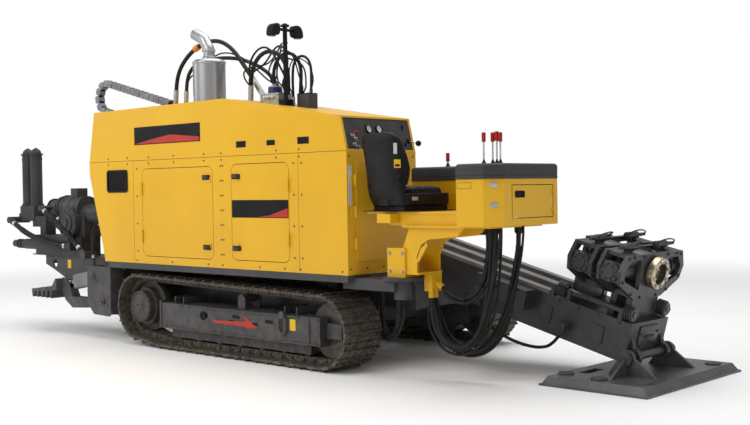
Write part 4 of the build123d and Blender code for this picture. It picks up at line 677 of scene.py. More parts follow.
def hoodFront(s):
    # Door: a rounded rectangle carried outwards and drawn in. Hinges: turned pins, each with two leaves
    y0, y1, z0, z1 = s["door"]
    rings = []
    for grow, out in ((0, .0005), (.001, .012), (-.006, .014), (-.012, .014)):
        flat = ringOutline(y1 - y0 + 2 * grow, z1 - z0 + 2 * grow, .05 + grow, 9)
        rings.append(atLevel(flat, "x", s["x"] + out, ((y0 + y1) / 2, (z0 + z1) / 2)))
    addPiece("front_service_door", skin(np.stack(rings), False, True), "bodyPaint", "chassis")
    forms = []
    for z in (.98, 1.22, 1.46):
        forms.append(turned([(0, .0001), (0, .010), (.002, .012), (.088, .012), (.090, .010), (.090, .0001)],
                            (s["x"] + .014, y0 - .012, z - .045), (0, 0, 1), 20))
        forms.append(slab((s["x"] + .0165, y0 + .012, z), (.005, .040, .080), .008, .001, "x"))
        forms.append(slab((s["x"] + .004, y0 - .034, z), (.008, .036, .080), .008, .001, "x"))
    addPiece("front_door_hinges", joined(forms), "bodyPaint", "chassis")
    addPiece("front_blank_strip", slab((s["x"] + .001, -1.018, 1.42), (.002, .040, .300), .006, .0006, "x"),
             "paleBlank", "chassis")
    handle = slab((s["x"] + .020, y1 - .09, 1.24), (.012, .05, .10), .012, .003, "x")
    addPiece("front_door_handle", handle, "blackPlastic", "chassis")


hoodFront(frontFace)

# Dash on the sloped front: two gauges, keys and switches
dash = {
    "foot": (1.620, 1.678), "head": (1.555, 1.945), "depth": -.006,
    # y, height up the panel, radius
    "gauges": ((-.756, .176, .036), (-.643, .178, .036), (-.756, .085, .024), (-.643, .085, .024)),
    "keys": ((-.955, .118, .015), (-.925, .095, .012), (-.950, .050, .015), (-.915, .035, .010)),
    "knobs": (-.560, -.500, -.440), "knobsUp": .085,
    "slots": ((.187, .062), (.048, .052)), "slotsAcross": -.364,   # height up the panel, length
}


def dashPoint(up, out):
    # A place on the sloped panel: so far up from its foot, so far out of its face
    foot, head = np.array(dash["foot"]), np.array(dash["head"])
    along = (head - foot) / np.linalg.norm(head - foot)
    normal = np.array([along[1], -along[0]])
    return foot + along * up + normal * (out + dash["depth"])


def dashPieces(s):
    # Gauges, knobs and keys are profiles turned about the panel's normal; dial marks every 30 degrees
    normal = dashPoint(0, 1) - dashPoint(0, 0)
    out = (normal[0], 0, normal[1])
    rims, faces, pins = [], [], []
    for y, up, r in s["gauges"]:
        x, z = dashPoint(up, 0)
        rims.append(turned([(0, r), (.010, r), (.013, r - .003), (.013, r - .006), (.005, r - .007)],
                           (x, y, z), out, 32))
        faces.append(turned([(.004, r - .006), (.006, r - .006), (.006, .0001)], (x, y, z), out, 32))
        for n in range(9):
            a = math.radians(-120 + 30 * n)
            dy, du = math.sin(a) * (r - .011), math.cos(a) * (r - .011)
            px, pz = dashPoint(up + du, .0065)
            pins.append(turned([(0, .0001), (0, .0012), (.001, .0012), (.001, .0001)], (px, y + dy, pz),
                               out, 8))
        tip = dashPoint(up + (r - .012) * .6, .008)
        tail = dashPoint(up - .004, .008)
        pins.append(tube([(tail[0], y - .003, tail[1]), (tip[0], y + .007, tip[1])], .0011, 8))
    addPiece("gauge_rims", joined(rims), "blackPlastic", "chassis")
    addPiece("gauge_faces", joined(faces), "paleBlank", "chassis")
    addPiece("gauge_needles", joined(pins), "redPlastic", "chassis")
    knobs, keys = [], []
    for y in s["knobs"]:
        x, z = dashPoint(s["knobsUp"], 0)
        knobs.append(turned([(0, .014), (.004, .014), (.006, .010), (.018, .009), (.020, .007),
                             (.020, .0001)], (x, y, z), out, 20))
    for up, high in s["slots"]:
        x, z = dashPoint(up, .0005)
        knobs.append(slab((x, s["slotsAcross"], z), (.004, .022, high), .004, .0008, "x"))
    # The ball lever beside the slots
    x, z = dashPoint(.089, 0)
    knobs.append(turned([(-.002, .022), (.006, .022), (.010, .016), (.014, .008), (.016, .0001)],
                        (x, -.320, z), out, 24))
    ball = [(.023 * (1 - math.cos(a)), .0001 + .023 * math.sin(a)) for a in np.linspace(0, math.pi, 14)]
    knobs.append(turned(ball, (1.664, -.308, 1.746), (1, .1, -.15), 24))
    addPiece("dash_lever", tube([(x, -.320, z), (1.635, -.314, 1.755), (1.672, -.307, 1.744)], .0045, 10),
             "zincSteel", "chassis")
    for y, up, r in s["keys"]:
        x, z = dashPoint(up, 0)
        keys.append(turned([(0, r), (.005, r), (.007, r - .003), (.020, r - .004), (.022, r - .007),
                            (.022, .0001)], (x, y, z), out, 20))
        x, z = dashPoint(up - .012, .020)
        keys.append(slab((x, y, z), (.014, .004, .030), .005, .0008, "y"))
    lead = bezier([(1.612, -.985, 1.790), (1.640, -.975, 1.822), (1.640, -.930, 1.815),
                   (1.606, -.905, 1.765)], 24)
    addPiece("dash_lead", tube(lead, .004, 8), "redPlastic", "chassis")
    addPiece("dash_knobs", joined(knobs), "blackPlastic", "chassis")
    addPiece("dash_keys", joined(keys), "zincSteel", "chassis")


dashPieces(dash)
print("hood dressed")

# Silencer: bands round its body, a welded seam, and a collar and lip on its outlet
silencer = {
    "axis": (-.230, -.850), "radius": .140, "bands": (2.500,),
    "seam": -2.1,   # the weld's angle round the body
}


def silencerPieces(s):
    # A band is a low rounded hump turned round the body's axis
    x, y = s["axis"]
    r = s["radius"]
    forms = []
    forms.append(turned([(0, r - .001), (.001, r), (.066, r), (.068, r - .002)], (x, y, 2.1535), (0, 0, 1),
                        64))
    for z in s["bands"]:
        hump = [(-.011, r - .002), (-.010, r + .002), (-.006, r + .0045), (0, r + .0055), (.006, r + .0045),
                (.010, r + .002), (.011, r - .002)]
        forms.append(turned(hump, (x, y, z), (0, 0, 1), 64))
    a = s["seam"]
    weld = [(x + (r + .001) * math.cos(a), y + (r + .001) * math.sin(a), z)
            for z in np.linspace(2.215, 2.515, 60)]
    ripple = .0030 + .0008 * np.sin(np.arange(60) * 1.9)
    forms.append(tube(weld, ripple, 10))
    forms.append(turned([(0, .052), (.004, .064), (.022, .064), (.026, .056), (.034, .0525)], (x, y, 2.528),
                        (0, 0, 1), 48))
    addPiece("silencer_bands", joined(forms), "silencerSteel", "chassis")
    collar = turned([(0, .0505), (.003, .056), (.020, .056), (.023, .0505)], (x, y, 2.600), (0, 0, 1), 40)
    screw = boltHeads([(x + .02, y - .054, 2.611), (x - .02, y - .054, 2.611)], (0, -1, 0), .006, .008)
    addPiece("silencer_clamp", joined([collar, screw]), "zincSteel", "chassis")
    # The mouth: a rolled lip, and a dark disc set on the end as painted shade of the pipe's hollow inside
    end = np.array([-.420, -.850, 2.775])
    d = np.array([-.9090, 0, .4168])
    lip = turned([(-.010, .0468), (-.008, .0484), (.001, .0488), (.002, .0480), (.002, .046),
                  (-.001, .045)], end, d, 40)
    addPiece("silencer_lip", lip, "silencerSteel", "chassis")
    # painted shade: a black disc closes the outlet where the hollow pipe would look dark
    addPiece("silencer_mouth_shade", turned([(.0002, .0465), (.0012, .0465), (.0012, .0001)], end, d, 40),
             "blackPlastic", "chassis")


silencerPieces(silencer)

# Lamp mast: the pole with its foot, cross bar and top clamp, and two hooded lamps that look down and outwards
lamps = {"x": .640, "y": -.750, "z": 2.696, "inner": .078, "half": .038, "pole": .0185, "top": 2.758}


def lampPieces(s):
    # The pole is turned, the cross bar is a tube, each lamp is its side outline carried across
    x, y = s["x"], s["y"]
    low = min(corner[2] for corner in cadNodes["lamp_mast"].bound_box)
    shells = [turned([(0, s["pole"] - .001), (.001, s["pole"]), (s["top"] - low - .002, s["pole"]),
                      (s["top"] - low, s["pole"] - .002),
                      (s["top"] - low, .0001)], (x, y, low), (0, 0, 1), 28)]
    shells.append(slab((x, y, low + .027), (.092, .092, .054), .012, .003, "z"))
    shells.append(slab((x, y, s["top"] - .018), (.052, .060, .020), .008, .003, "z"))
    shells.append(tube(np.linspace((x, y - s["inner"] - .020, s["z"] + .010),
                                   (x, y + s["inner"] + .020, s["z"] + .010), 6), .013, 16))
    outline = softenLoop(np.array([(0, .046), (.034, .056), (.066, .046), (.088, .020), (.097, -.022),
                                   (.094, -.050), (.050, -.046), (.004, -.038)]), 2)
    lenses = []
    for side in (-1, 1):
        # The outline is carried across the lamp; near both cheeks it shrinks a little about its middle
        middle = outline.mean(0)
        rings = []
        for across, share in ((-1, .90), (-.93, .97), (-.82, 1), (.82, 1), (.93, .97), (1, .90)):
            flat = middle + (outline - middle) * share
            rings.append(np.column_stack([np.full(len(flat), x + across * s["half"]),
                                          y + side * (s["inner"] + flat[:, 0]), s["z"] + flat[:, 1]]))
        shells.append(skin(np.stack(rings)))
        lenses.append(slab((x, y + side * (s["inner"] + .062), s["z"] - .0515), (.056, .052, .005),
                           .012, .0012, "z"))
    piece = addPiece("lamp_housings", joined(shells), "blackPlastic", "chassis")
    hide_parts("lamp_mast")
    addPiece("lamp_lenses", joined(lenses), "smokedGlass", "chassis")
    # the lamps' cable, clipped to the pole
    z = np.linspace(2.665, low + .055, 24)
    cable = [(x + .022 + .003 * math.sin(9 * h), y - .012, h) for h in z]
    clips = [turned([(-.006, .0182), (-.005, .0225), (.005, .0225), (.006, .0182)], (x, y, h), (0, 0, 1), 24)
             for h in (2.60, 2.44, 2.28)]
    addPiece("lamp_cable", joined([tube(cable, .0055, 10)] + clips), "blackPlastic", "chassis")


lampPieces(lamps)

# Filler cap on the pale block, its ribs, and the screws of the block
capShape = {"place": (.430, -.680, 2.199), "ribs": 24}


def fillerCap(s):
    # Radius at angle t: r, plus 2.2 mm where the cosine of ribs * t is above zero
    x, y, z = s["place"]
    t = np.linspace(0, 2 * math.pi, 4 * s["ribs"], endpoint=False)
    wave = .0022 * (np.cos(s["ribs"] * t) > 0)
    rings = []
    for h, r, w in ((0, .060, 0), (.006, .060, 0), (.008, .058, 1), (.052, .056, 1), (.060, .052, 0),
                    (.066, .044, 0), (.068, .030, 0)):
        radius = r + w * wave
        rings.append(np.column_stack([x + radius * np.cos(t), y + radius * np.sin(t),
                                      np.full(len(t), z + h)]))
    addPiece("filler_cap", skin(np.stack(rings)), "bluePlastic", "chassis")
    screws = [(.345, -.7605, 2.185), (.545, -.7605, 2.185), (.345, -.7605, 2.140), (.545, -.7605, 2.140)]
    plugs = boltHeads(screws, (0, -1, 0), .008, .006)
    ports = [turned([(0, .020), (.006, .020), (.008, .016), (.020, .016), (.022, .010), (.022, .0001)],
                    (xx, -.760, 2.165), (0, -1, 0), 6)
             for xx in (.395, .445, .495)]
    addPiece("valve_plugs", joined([plugs] + ports), "zincSteel", "chassis")
    lid = slab((.789, -.650, 2.1765), (.146, .108, .006), .012, .002, "z")
    screwsTop = boltHeads([(.735, -.690, 2.179), (.843, -.690, 2.179), (.735, -.610, 2.179),
                           (.843, -.610, 2.179)], (0, 0, 1), .005, .004)
    addPiece("roof_box_lid", joined([lid, screwsTop]), "blackPlastic", "chassis")


fillerCap(capShape)
print("roof dressed")

# Drag chain: open links along a long U, each link two side plates and two bars with a dark core
chain = {"bend": -4.450, "radius": .150, "centre": .805, "y": (-.190, -.112), "upper": -3.330,
         "lower": -1.500,
         "pitch": .085}


def chainLine(s, distance):
    # Distance along the U from the upper end: straight, half circle, straight. Gives u, w and the tangent's
    # angle
    top = s["bend"] - s["upper"]
    turn = math.pi * s["radius"]
    if distance < -top:
        return s["upper"] - distance, s["centre"] + s["radius"], math.pi
    if distance < -top + turn:
        a = (distance + top) / s["radius"]
        return (s["bend"] - s["radius"] * math.sin(a), s["centre"] + s["radius"] * math.cos(a), math.pi + a)
    return s["bend"] + distance + top - turn, s["centre"] - s["radius"], 2 * math.pi


def chainPieces(s):
    # Link n stands at (n + .5) / count of the U's length, turned by the U's angle there
    total = (s["upper"] - s["bend"]) + math.pi * s["radius"] + (s["lower"] - s["bend"])
    count = int(total / s["pitch"])
    y0, y1 = s["y"]
    plates, core = [], []
    outline = np.array([(-.046, -.020), (-.034, -.033), (.020, -.033), (.030, -.027), (.030, .027),
                        (.020, .033), (-.034, .033), (-.046, .020)])
    for n in range(count):
        u, w, a = chainLine(s, (n + .5) * total / count)
        c, d = math.cos(a), math.sin(a)

        def placed(flat, y):
            # The flat outline turned by the link's angle about (u, w), at one y
            pu = u + flat[:, 0] * c - flat[:, 1] * d
            pw = w + flat[:, 0] * d + flat[:, 1] * c
            return onMast(np.column_stack([pu, np.full(len(flat), y), pw]))

        sink = .0035 * (n % 2)
        for low, high in ((y0 + sink, y0 + .009 + sink), (y1 - .009 - sink, y1 - sink)):
            plates.append(skin(np.stack([placed(outline, low), placed(outline, high)])))
        for side in (-1, 1):
            bar = np.array([(-.030, side * .035), (.012, side * .035), (.012, side * .028),
                            (-.030, side * .028)])
            plates.append(skin(np.stack([placed(bar, y0 + .002), placed(bar, y1 - .002)])))
        centre = onMast([(u, y0 + sink, w)])[0]
        plates.append(turned([(-.0035, .0001), (-.0035, .011), (-.0020, .013), (.0005, .013)], centre,
                             (0, 1, 0), 14)
                      if n % 2 == 0 else turned([(0, .008), (.002, .008)], centre, (0, -1, 0), 10))
    path = [chainLine(s, q) for q in np.linspace(.01, total - .01, 140)]
    for y, r in ((-.170, .012), (-.150, .012), (-.131, .010)):
        core.append(tube(onMast([(p[0], y, p[1]) for p in path]), r, 8))
    links = addPiece("drag_chain_links", joined(plates), "chainPlastic", "mast")
    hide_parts("drag_chain")
    hoses = addPiece("drag_chain_hoses", joined(core), "hoseRubber", "mast")
    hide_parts("drag_chain")


chainPieces(chain)
print("drag chain made")


# Track details: bolts through the shoes' inner ends, the hub's cover and bolts, the idler's cap
belt = {"wheels": ((-1.030, .352, .310), (1.340, .303, .303), (-.700, .240, .240)), "count": 50,
        "inset": .030, "side": .900}


def beltPlaces(s):
    # Even places round the loop of three circles and their tangents, with the outward angle of each
    wheels = [(x, z, r - s["inset"]) for x, z, r in s["wheels"]]
    legs = []
    for n, (x0, z0, r0) in enumerate(wheels):
        x1, z1, r1 = wheels[(n + 1) % 3]
        run = math.hypot(x1 - x0, z1 - z0)
        normal = math.atan2(z1 - z0, x1 - x0) + math.pi / 2 + math.asin((r1 - r0) / run)
        legs.append((np.array((x0 + r0 * math.cos(normal), z0 + r0 * math.sin(normal))),
                     np.array((x1 + r1 * math.cos(normal), z1 + r1 * math.sin(normal))), normal))
    parts = []
    for n, (start, end, normal) in enumerate(legs):
        turn = (normal - legs[(n + 1) % 3][2]) % (2 * math.pi)
        parts.append((np.linalg.norm(end - start), start, end, None, normal, 0))
        parts.append((wheels[(n + 1) % 3][2] * turn, None, None, wheels[(n + 1) % 3], normal, turn))
    total = sum(p[0] for p in parts)
    places = []
    for n in range(s["count"]):
        d = (n + .5) * total / s["count"]
        k = 0
        while d > parts[k][0]:
            d -= parts[k][0]
            k += 1
        length, start, end, wheel, normal, turn = parts[k]
        if wheel is None:
            p = start + (end - start) * d / length
            places.append((p[0], p[1], math.atan2(*(end - start)[::-1]) + math.pi / 2))
        else:
            a = normal - d / wheel[2]
            places.append((wheel[0] + wheel[2] * math.cos(a), wheel[1] + wheel[2] * math.sin(a), a))
    return places


def trackPieces(s):
    # At each shoe: its place on the belt, plus t along the belt, y across it and a height outwards
    places = beltPlaces(s)
    for sign, name in ((-1, "right"), (1, "left")):
        heads, plates = [], []
        for x, z, a in places:
            out = np.array((math.cos(a), 0, math.sin(a)))
            along = np.array((math.sin(a), 0, -math.cos(a)))
            base = np.array((x, sign * s["side"], z))
            for y in (-.052, .052):
                for t in (-.034, .034):
                    p = base + along * t + np.array((0, y, 0)) + out * .0118
                    _, u, v = axisFrame(out)
                    ring = np.array([math.cos(k) * u + math.sin(k) * v for k in np.arange(6) * math.pi / 3])
                    heads.append(skin(np.stack([p + ring * .010, p + ring * .010 + out * .006,
                                                p + ring * .007 + out * .008]), False))
            # a link plate with waisted sides and a raised boss, on both faces of the chain
            for y, face in ((-.0752, -1), (.0752, 1)):
                flat = np.array([(-.060, -.040), (-.046, -.052), (-.018, -.044), (.018, -.044),
                                 (.046, -.052), (.060, -.040),
                                 (.060, -.018), (.046, -.006), (-.046, -.006), (-.060, -.018)])
                p = [base + np.array((0, y, 0)) + along * c[0] + out * c[1] for c in flat]
                q = [c + np.array((0, face * .006, 0)) for c in p]
                plates.append(skin(np.stack([p, q]), False))
                for t in (-.043, .043):
                    boss = base + along * t + out * -.030 + np.array((0, y + face * .004, 0))
                    plates.append(turned([(0, .013), (.006, .013), (.008, .010), (.008, .0001)], boss,
                                         (0, face, 0), 10))
        addPiece("track_bolts_" + name, joined(heads), "wheelIron", "chassis")
        addPiece("track_link_plates_" + name, joined(plates), "trackIron", "chassis")
        x, z, _ = s["wheels"][0]
        face = sign * 1.0502
        lip = [(0, .143), (.004, .1425), (.008, .137), (.008, .122), (.004, .118), (.004, .062),
               (.010, .056), (.016, .048), (.016, .0001)]
        cover = turned(lip, (x, face, z), (0, sign, 0), 64)
        ring = [(x + .130 * math.cos(t), face + sign * .008, z + .130 * math.sin(t))
                for t in np.arange(16) * math.pi / 8]
        inner = [(x + .032 * math.cos(t), face + sign * .016, z + .032 * math.sin(t))
                 for t in (0.6, 2.7, 4.8)]
        addPiece("hub_cover_" + name, cover, "framePaint", "chassis")
        bolts = [boltHeads(ring, (0, sign, 0), .0075, .007), boltHeads(inner, (0, sign, 0), .007, .006)]
        addPiece("hub_bolts_" + name, joined(bolts), "wheelIron", "chassis")
        x, z, _ = s["wheels"][1]
        step = ((0, .150), (.003, .150), (.006, .140), (.006, .080), (.002, .070))
        addPiece("idler_disc_" + name, turned(step, (x, sign * .945, z), (0, sign, 0), 48), "wheelIron",
                 "chassis")


trackPieces(belt)

# Track frame: end bolts, sight hole and slots drawn dark as painted shade of the openings, shackle, arrow
# sign and a yellow tag; both sides but the arrow
frameSide = {"y": 1.060, "arrow": (.310, .298, .580)}


def framePieces(s):
    # Bolts at even steps along both edges; the shackle's bow is the arc (sin t, 1 - cos t)
    for sign, name in ((-1, "right"), (1, "left")):
        y = sign * s["y"]
        out = (0, sign, 0)
        # painted shade: a black rim with a closed dark face for the sight hole, and dark slabs for the slots,
        # stand for the shaded openings
        rims = [turned([(-.001, .040), (.003, .040), (.005, .036), (.005, .028), (.0012, .026),
                        (.0012, .0001)], (-.113, y, .330), out, 32)]
        for x, z in ((.325, .350), (.735, .338)):
            rims.append(slab((x, y + sign * .002, z), (.092, .004, .028), .013, .001, "y"))
        edge = [(-.650 + .085 * n, y, .390) for n in (0, 4, 8, 15, 19, 23)]
        low = [(-.650 + .39 * n, y, .205) for n in range(6)]
        addPiece("track_frame_bolts_" + name, boltHeads(edge + low, out, .0070, .006), "framePaint",
                 "chassis")
        addPiece("track_frame_hole_shades_" + name, joined(rims), "blackPlastic", "chassis")
        ribs = [slab((1.20, y + sign * .005, .298), (.012, .010, .200), .003, .002, "y")]
        ribs.append(slab((.312, y + sign * .006, .400), (1.55, .012, .014), .004, .003, "y"))
        ribs.append(slab((.312, y + sign * .006, .196), (1.95, .012, .014), .004, .003, "y"))
        addPiece("track_frame_ribs_" + name, joined(ribs), "framePaint", "chassis")
        guard = slab((-.150, sign * .655, .490), (2.300, .008, .240), .030, .002, "y")
        addPiece("belly_guard_" + name, guard, "mastPaint", "chassis")
        # shackle and its eye near the front
        sx, sz = .910, .420
        bow = [(sx + .044 * math.sin(t), y + sign * .020, sz - .165 + .075 * (1 - math.cos(t)))
               for t in np.linspace(-2.6, 2.6, 24)]
        eye = turned([(-.012, .024), (-.010, .030), (.034, .030), (.036, .024), (.036, .0001)],
                     (sx, y - sign * .004, sz - .012), out, 24)
        addPiece("shackle_" + name, joined([tube(bow, .0105, 12), eye]), "wheelIron", "chassis")
        tag = slab((1.012, y + sign * .001, .334), (.066, .002, .090), .006, .0006, "y")
        addPiece("frame_tag_" + name, tag, "signYellow", "chassis")
    x, z, length = s["arrow"]
    y = -s["y"]
    half = length / 2
    # One outline: a long tapering shaft and half an arrowhead, pointing to the nose
    outline = np.array([(-half, -.014), (half * .45, -.022), (half * .50, -.034), (half, -.022),
                        (half * .38, .070), (half * .46, .020), (-half, .004)])
    grid = np.stack([atLevel(outline, "y", y - h, (x, z)) for h in (.0003, .0022)])
    addPiece("arrow_sign", skin(grid), "redPaint", "chassis", flat=True)


framePieces(frameSide)
print("tracks dressed")

# Vises: front ring with its bolts, cylinder caps, frame bolts, top cylinders and hoses' stubs
vise = {"y": .160, "w": .7995, "rear": (1.640, 1.845), "front": (1.885, 2.083), "ring": 2.145}


def mastDirection(vector):
    # The vector's tip less its foot, both set on the mast
    return onMast([vector])[0] - onMast([(0, 0, 0)])[0]


def visePieces(s):
    # Turned profiles with bolts round them, all placed along, across and up the mast; each spring is the
    # helix r (cos t, sin t) whose place along the bar grows with t
    y, w = s["y"], s["w"]
    forward = mastDirection((1, 0, 0))
    rise = mastDirection((0, 0, 1))
    centre = onMast([(s["ring"], y, w)])[0]
    ring = turned([(-.050, .1082), (-.048, .116), (-.004, .116), (0, .112), (.003, .108), (.003, .080),
                   (-.004, .0755), (-.040, .0755)],
                  centre, forward, 64)
    addPiece("guide_ring", ring, "goldZinc", "mast")
    heads = []
    for n in range(8):
        a = n * math.pi / 4 + .3
        p = onMast([(s["ring"] + .003, y + .094 * math.cos(a), w + .094 * math.sin(a))])[0]
        heads.append(turned([(0, .0125), (.010, .0125), (.012, .0105), (.012, .007), (.006, .006),
                             (.006, .0001)], p, forward, 16))
    addPiece("guide_ring_screws", joined(heads), "zincSteel", "mast")
    for body, (u0, u1), name in (("turning_vise", s["rear"], "rear"), ("mast", s["front"], "front")):
        bolts, caps, rods = [], [], []
        u = (u0 + u1) / 2
        for side in (-1, 1):
            out = (0, side, 0)
            base = onMast([(u, y + side * .430, w)])[0]
            caps.append(turned([(0, .072), (.004, .072), (.008, .068), (.008, .046), (.016, .042),
                                (.016, .0001)], base, out, 48))
            for n in range(8):
                a = n * math.pi / 4 + math.pi / 8
                p = onMast([(u + .057 * math.cos(a), y + side * .438, w + .057 * math.sin(a))])[0]
                caps.append(turned([(0, .0085), (.009, .0085), (.010, .0075), (.010, .0001)], p, out, 12))
            # a thin stroke cylinder above the frame's shoulder, with its pipe
            a0 = onMast([(u, y + side * .130, w + .1660)])[0]
            rods.append(turned([(0, .018), (.004, .026), (.150, .026), (.154, .022), (.160, .014),
                                (.230, .014), (.232, .0001)],
                               a0, out, 28))
            for off in (.05, .13):
                foot = onMast([(u, y + side * (.130 + off), w + .1375)])[0]
                rods.append(turned([(-.003, .016), (.008, .016), (.020, .012)], foot, rise, 16))
            for yy, ww in ((.395, -.055), (.250, -.150), (.115, -.182), (.170, .120), (.300, .120),
                           (.365, .112)):
                for uu, sense in ((u1, 1), (u0, -1)):
                    p = onMast([(uu, y + side * yy, w + ww)])[0]
                    bolts.append(boltHeads([p], forward * sense, .009, .008))
        addPiece(name + "_vise_bolts", joined(bolts), "wheelIron", body)
        addPiece(name + "_vise_caps", joined(caps), "mastPaint", body)
        addPiece(name + "_vise_cylinders", joined(rods), "mastPaint", body)
        pipes = []
        for side in (-1, 1):
            line = [(u + .02, y + side * .150, w + .192), (u + .05, y + side * .160, w + .215),
                    (u + .06, y + side * .230, w + .222),
                    (u + .05, y + side * .310, w + .205), (u + .03, y + side * .335, w + .182)]
            pipes.append(tube(onMast(bezier(line, 24)), .0055, 10))
            nuts = onMast([(u + .02, y + side * .150, w + .186), (u + .03, y + side * .335, w + .178)])
            pipes += [turned([(-.010, .010), (.010, .010)], p, rise, 6) for p in nuts]
        addPiece(name + "_vise_pipes", joined(pipes), "mastPaint", body)
    # Springs on the guide bars: a coil round each collar, closed at both ends
    coils = []
    for side in (-1, 1):
        for u0, u1 in ((1.500, 1.580), (2.058, 2.138)):
            t = np.linspace(0, 2 * math.pi * 4, 110)
            r = .0505
            line = np.column_stack([u0 + .004 + (u1 - u0 - .008) * t / t[-1],
                                    y + side * .232 + r * np.cos(t), .5155 + r * np.sin(t)])
            coils.append(tube(onMast(line), .0070, 10))
    addPiece("guide_springs", joined(coils), "mastPaint", "mast")
    # Nose cover: a rectangular plate with screws and a handle
    u = 2.1485
    rings = []
    for grow, out in ((0, 0), (0, .008), (-.006, .011)):
        flat = ringOutline(.26 + 2 * grow, .19 + 2 * grow, .016, 5)
        rings.append(onMast(atLevel(flat, "x", u + out, (y, .325))))
    addPiece("nose_cover", skin(np.stack(rings)), "mastPaint", "mast")
    handle = [(u + .008, y - .060, .345), (u + .022, y - .058, .345), (u + .026, y - .045, .345),
              (u + .026, y + .045, .345), (u + .022, y + .058, .345), (u + .008, y + .060, .345)]
    # The screws keep to the cover's middle: the anchor plate pivots up to its lower edge
    screws = [onMast([(u + .0105, y + yy, .325 + ww)])[0] for yy in (-.112, .112) for ww in (-.045, .045)]
    addPiece("nose_handle", joined([tube(onMast(bezier(handle, 30)), .0065, 12),
                                    boltHeads(screws, forward, .008, .007)]), "mastPaint", "mast")
    # Edge bolts along the rails, and clamps on the mast's flank
    heads = [onMast([(uu, y - .2602, .430)])[0] for uu in np.linspace(-2.2, 2.05, 26)]
    addPiece("mast_side_bolts", boltHeads(heads, (0, -1, 0), .009, .008), "mastPaint", "mast")
    forms = []
    for uu in (1.00, 1.45, 1.90):
        grid = [atLevel(f, "y", y - .2602 - h, (uu, .300))
                for f, h in ((ringOutline(.10, .13, .012), 0), (ringOutline(.10, .13, .012), .007),
                             (ringOutline(.094, .124, .010), .010))]
        forms.append(skin(np.stack([onMast(g) for g in grid])))
    addPiece("mast_side_plates", joined(forms), "mastPaint", "mast")


visePieces(vise)
print("mast dressed")

# Anchor plate: collars round the stake holes, caps on the nose pin, lifting eyes
anchor = {"top": .066, "holes": ((3.050, -.330), (3.660, -.330), (3.050, .680), (3.660, .680),
                                 (3.350, .730), (3.350, -.380))}


def anchorPieces(s):
    # A turned collar round each stake hole; the nose pin's caps have three bolts at 120 degrees
    forms = []
    for x, y in s["holes"]:
        forms.append(turned([(-.001, .043), (-.001, .058), (.008, .058), (.012, .054), (.012, .046),
                             (.009, .0425)],
                            (x, y, s["top"]), (0, 0, 1), 40))
    addPiece("stake_collars", joined(forms), "framePaint", "anchor")
    pin = onMast([(2.182, .160, .217)])[0]
    caps, heads = [], []
    for side in (-1, 1):
        base = (pin[0], .160 + side * .307, pin[2])
        caps.append(turned([(0, .030), (0, .050), (.006, .052), (.014, .050), (.016, .044), (.016, .0001)],
                           base, (0, side, 0), 36))
        for n in range(3):
            a = n * 2 * math.pi / 3 + .5
            heads.append((pin[0] + .032 * math.cos(a), base[1] + side * .016, pin[2] + .032 * math.sin(a),
                          side))
    addPiece("nose_pin_caps", joined(caps), "framePaint", "anchor")
    bolts = [boltHeads([h[:3]], (0, h[3], 0), .008, .007) for h in heads]
    addPiece("nose_pin_bolts", joined(bolts), "wheelIron", "anchor")


anchorPieces(anchor)

# Station: cover with a soft edge, its step, latches, blank labels, door pull, lever knobs and boots
station = {"x": (2.646, 3.000), "y": (-1.062, -.308), "armX": 1.728, "armY": -.462, "cut": .100,
           "z": (1.445, 1.550)}


def consoleCover(s):
    # The plan is drawn in by a quarter circle at the top edge, so the lid looks moulded
    def plan(inset):
        x0, x1 = s["x"][0] + inset, s["x"][1] - inset
        y0, y1 = s["y"][0] + inset, s["y"][1] - inset
        cut, ax, ay = s["cut"], s["armX"] + inset, s["armY"] + inset
        corners = [((x0, y0), .030), ((x1 - cut, y0), .040), ((x1, y0 + cut), .040), ((x1, y1), .035),
                   ((ax, y1), .035), ((ax, ay), .030), ((x0, ay), .020)]
        points = [np.array(c[0]) for c in corners]
        out = []
        for n, (p, (_, r)) in enumerate(zip(points, corners)):
            r = max(r - inset * .5, .006)
            before, after = points[n - 1] - p, points[(n + 1) % len(points)] - p
            before, after = before / np.linalg.norm(before), after / np.linalg.norm(after)
            half = math.acos(np.clip(before @ after, -1, 1)) / 2
            reach = r / math.tan(half)
            middle = p + (before + after) / np.linalg.norm(before + after) * r / math.sin(half)
            a, b = p + before * reach - middle, p + after * reach - middle
            for t in np.linspace(0, 1, 7):
                v = a * (1 - t) + b * t
                out.append(middle + v / np.linalg.norm(v) * r)
        return np.array(out)

    low, high = s["z"]
    rings = []
    for inset, z in ((.004, low), (.0005, low + .003), (.0005, low + .020), (.0035, low + .0225),
                     (.0035, low + .026), (.001, low + .029)):
        flat = plan(inset)
        rings.append(atLevel(flat, "z", z))
    for a in np.linspace(0, math.pi / 2, 8):
        flat = plan(.001 + .024 * (1 - math.cos(a)))
        rings.append(atLevel(flat, "z", high - .024 + .024 * math.sin(a) + .0002))
    obj = addPiece("cover_lid", skin(np.stack(rings)), "coverPlastic", "station")
    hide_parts("console_cover")


console = {
    "front": 2.988, "door": (-.860, -.380, 1.180, 1.400), "pull": (-.775, 1.340),
    "corner": (2.938, -1.000), "latches": (1.405, 1.270), "label": (2.728, -1.0503, 1.402),
}


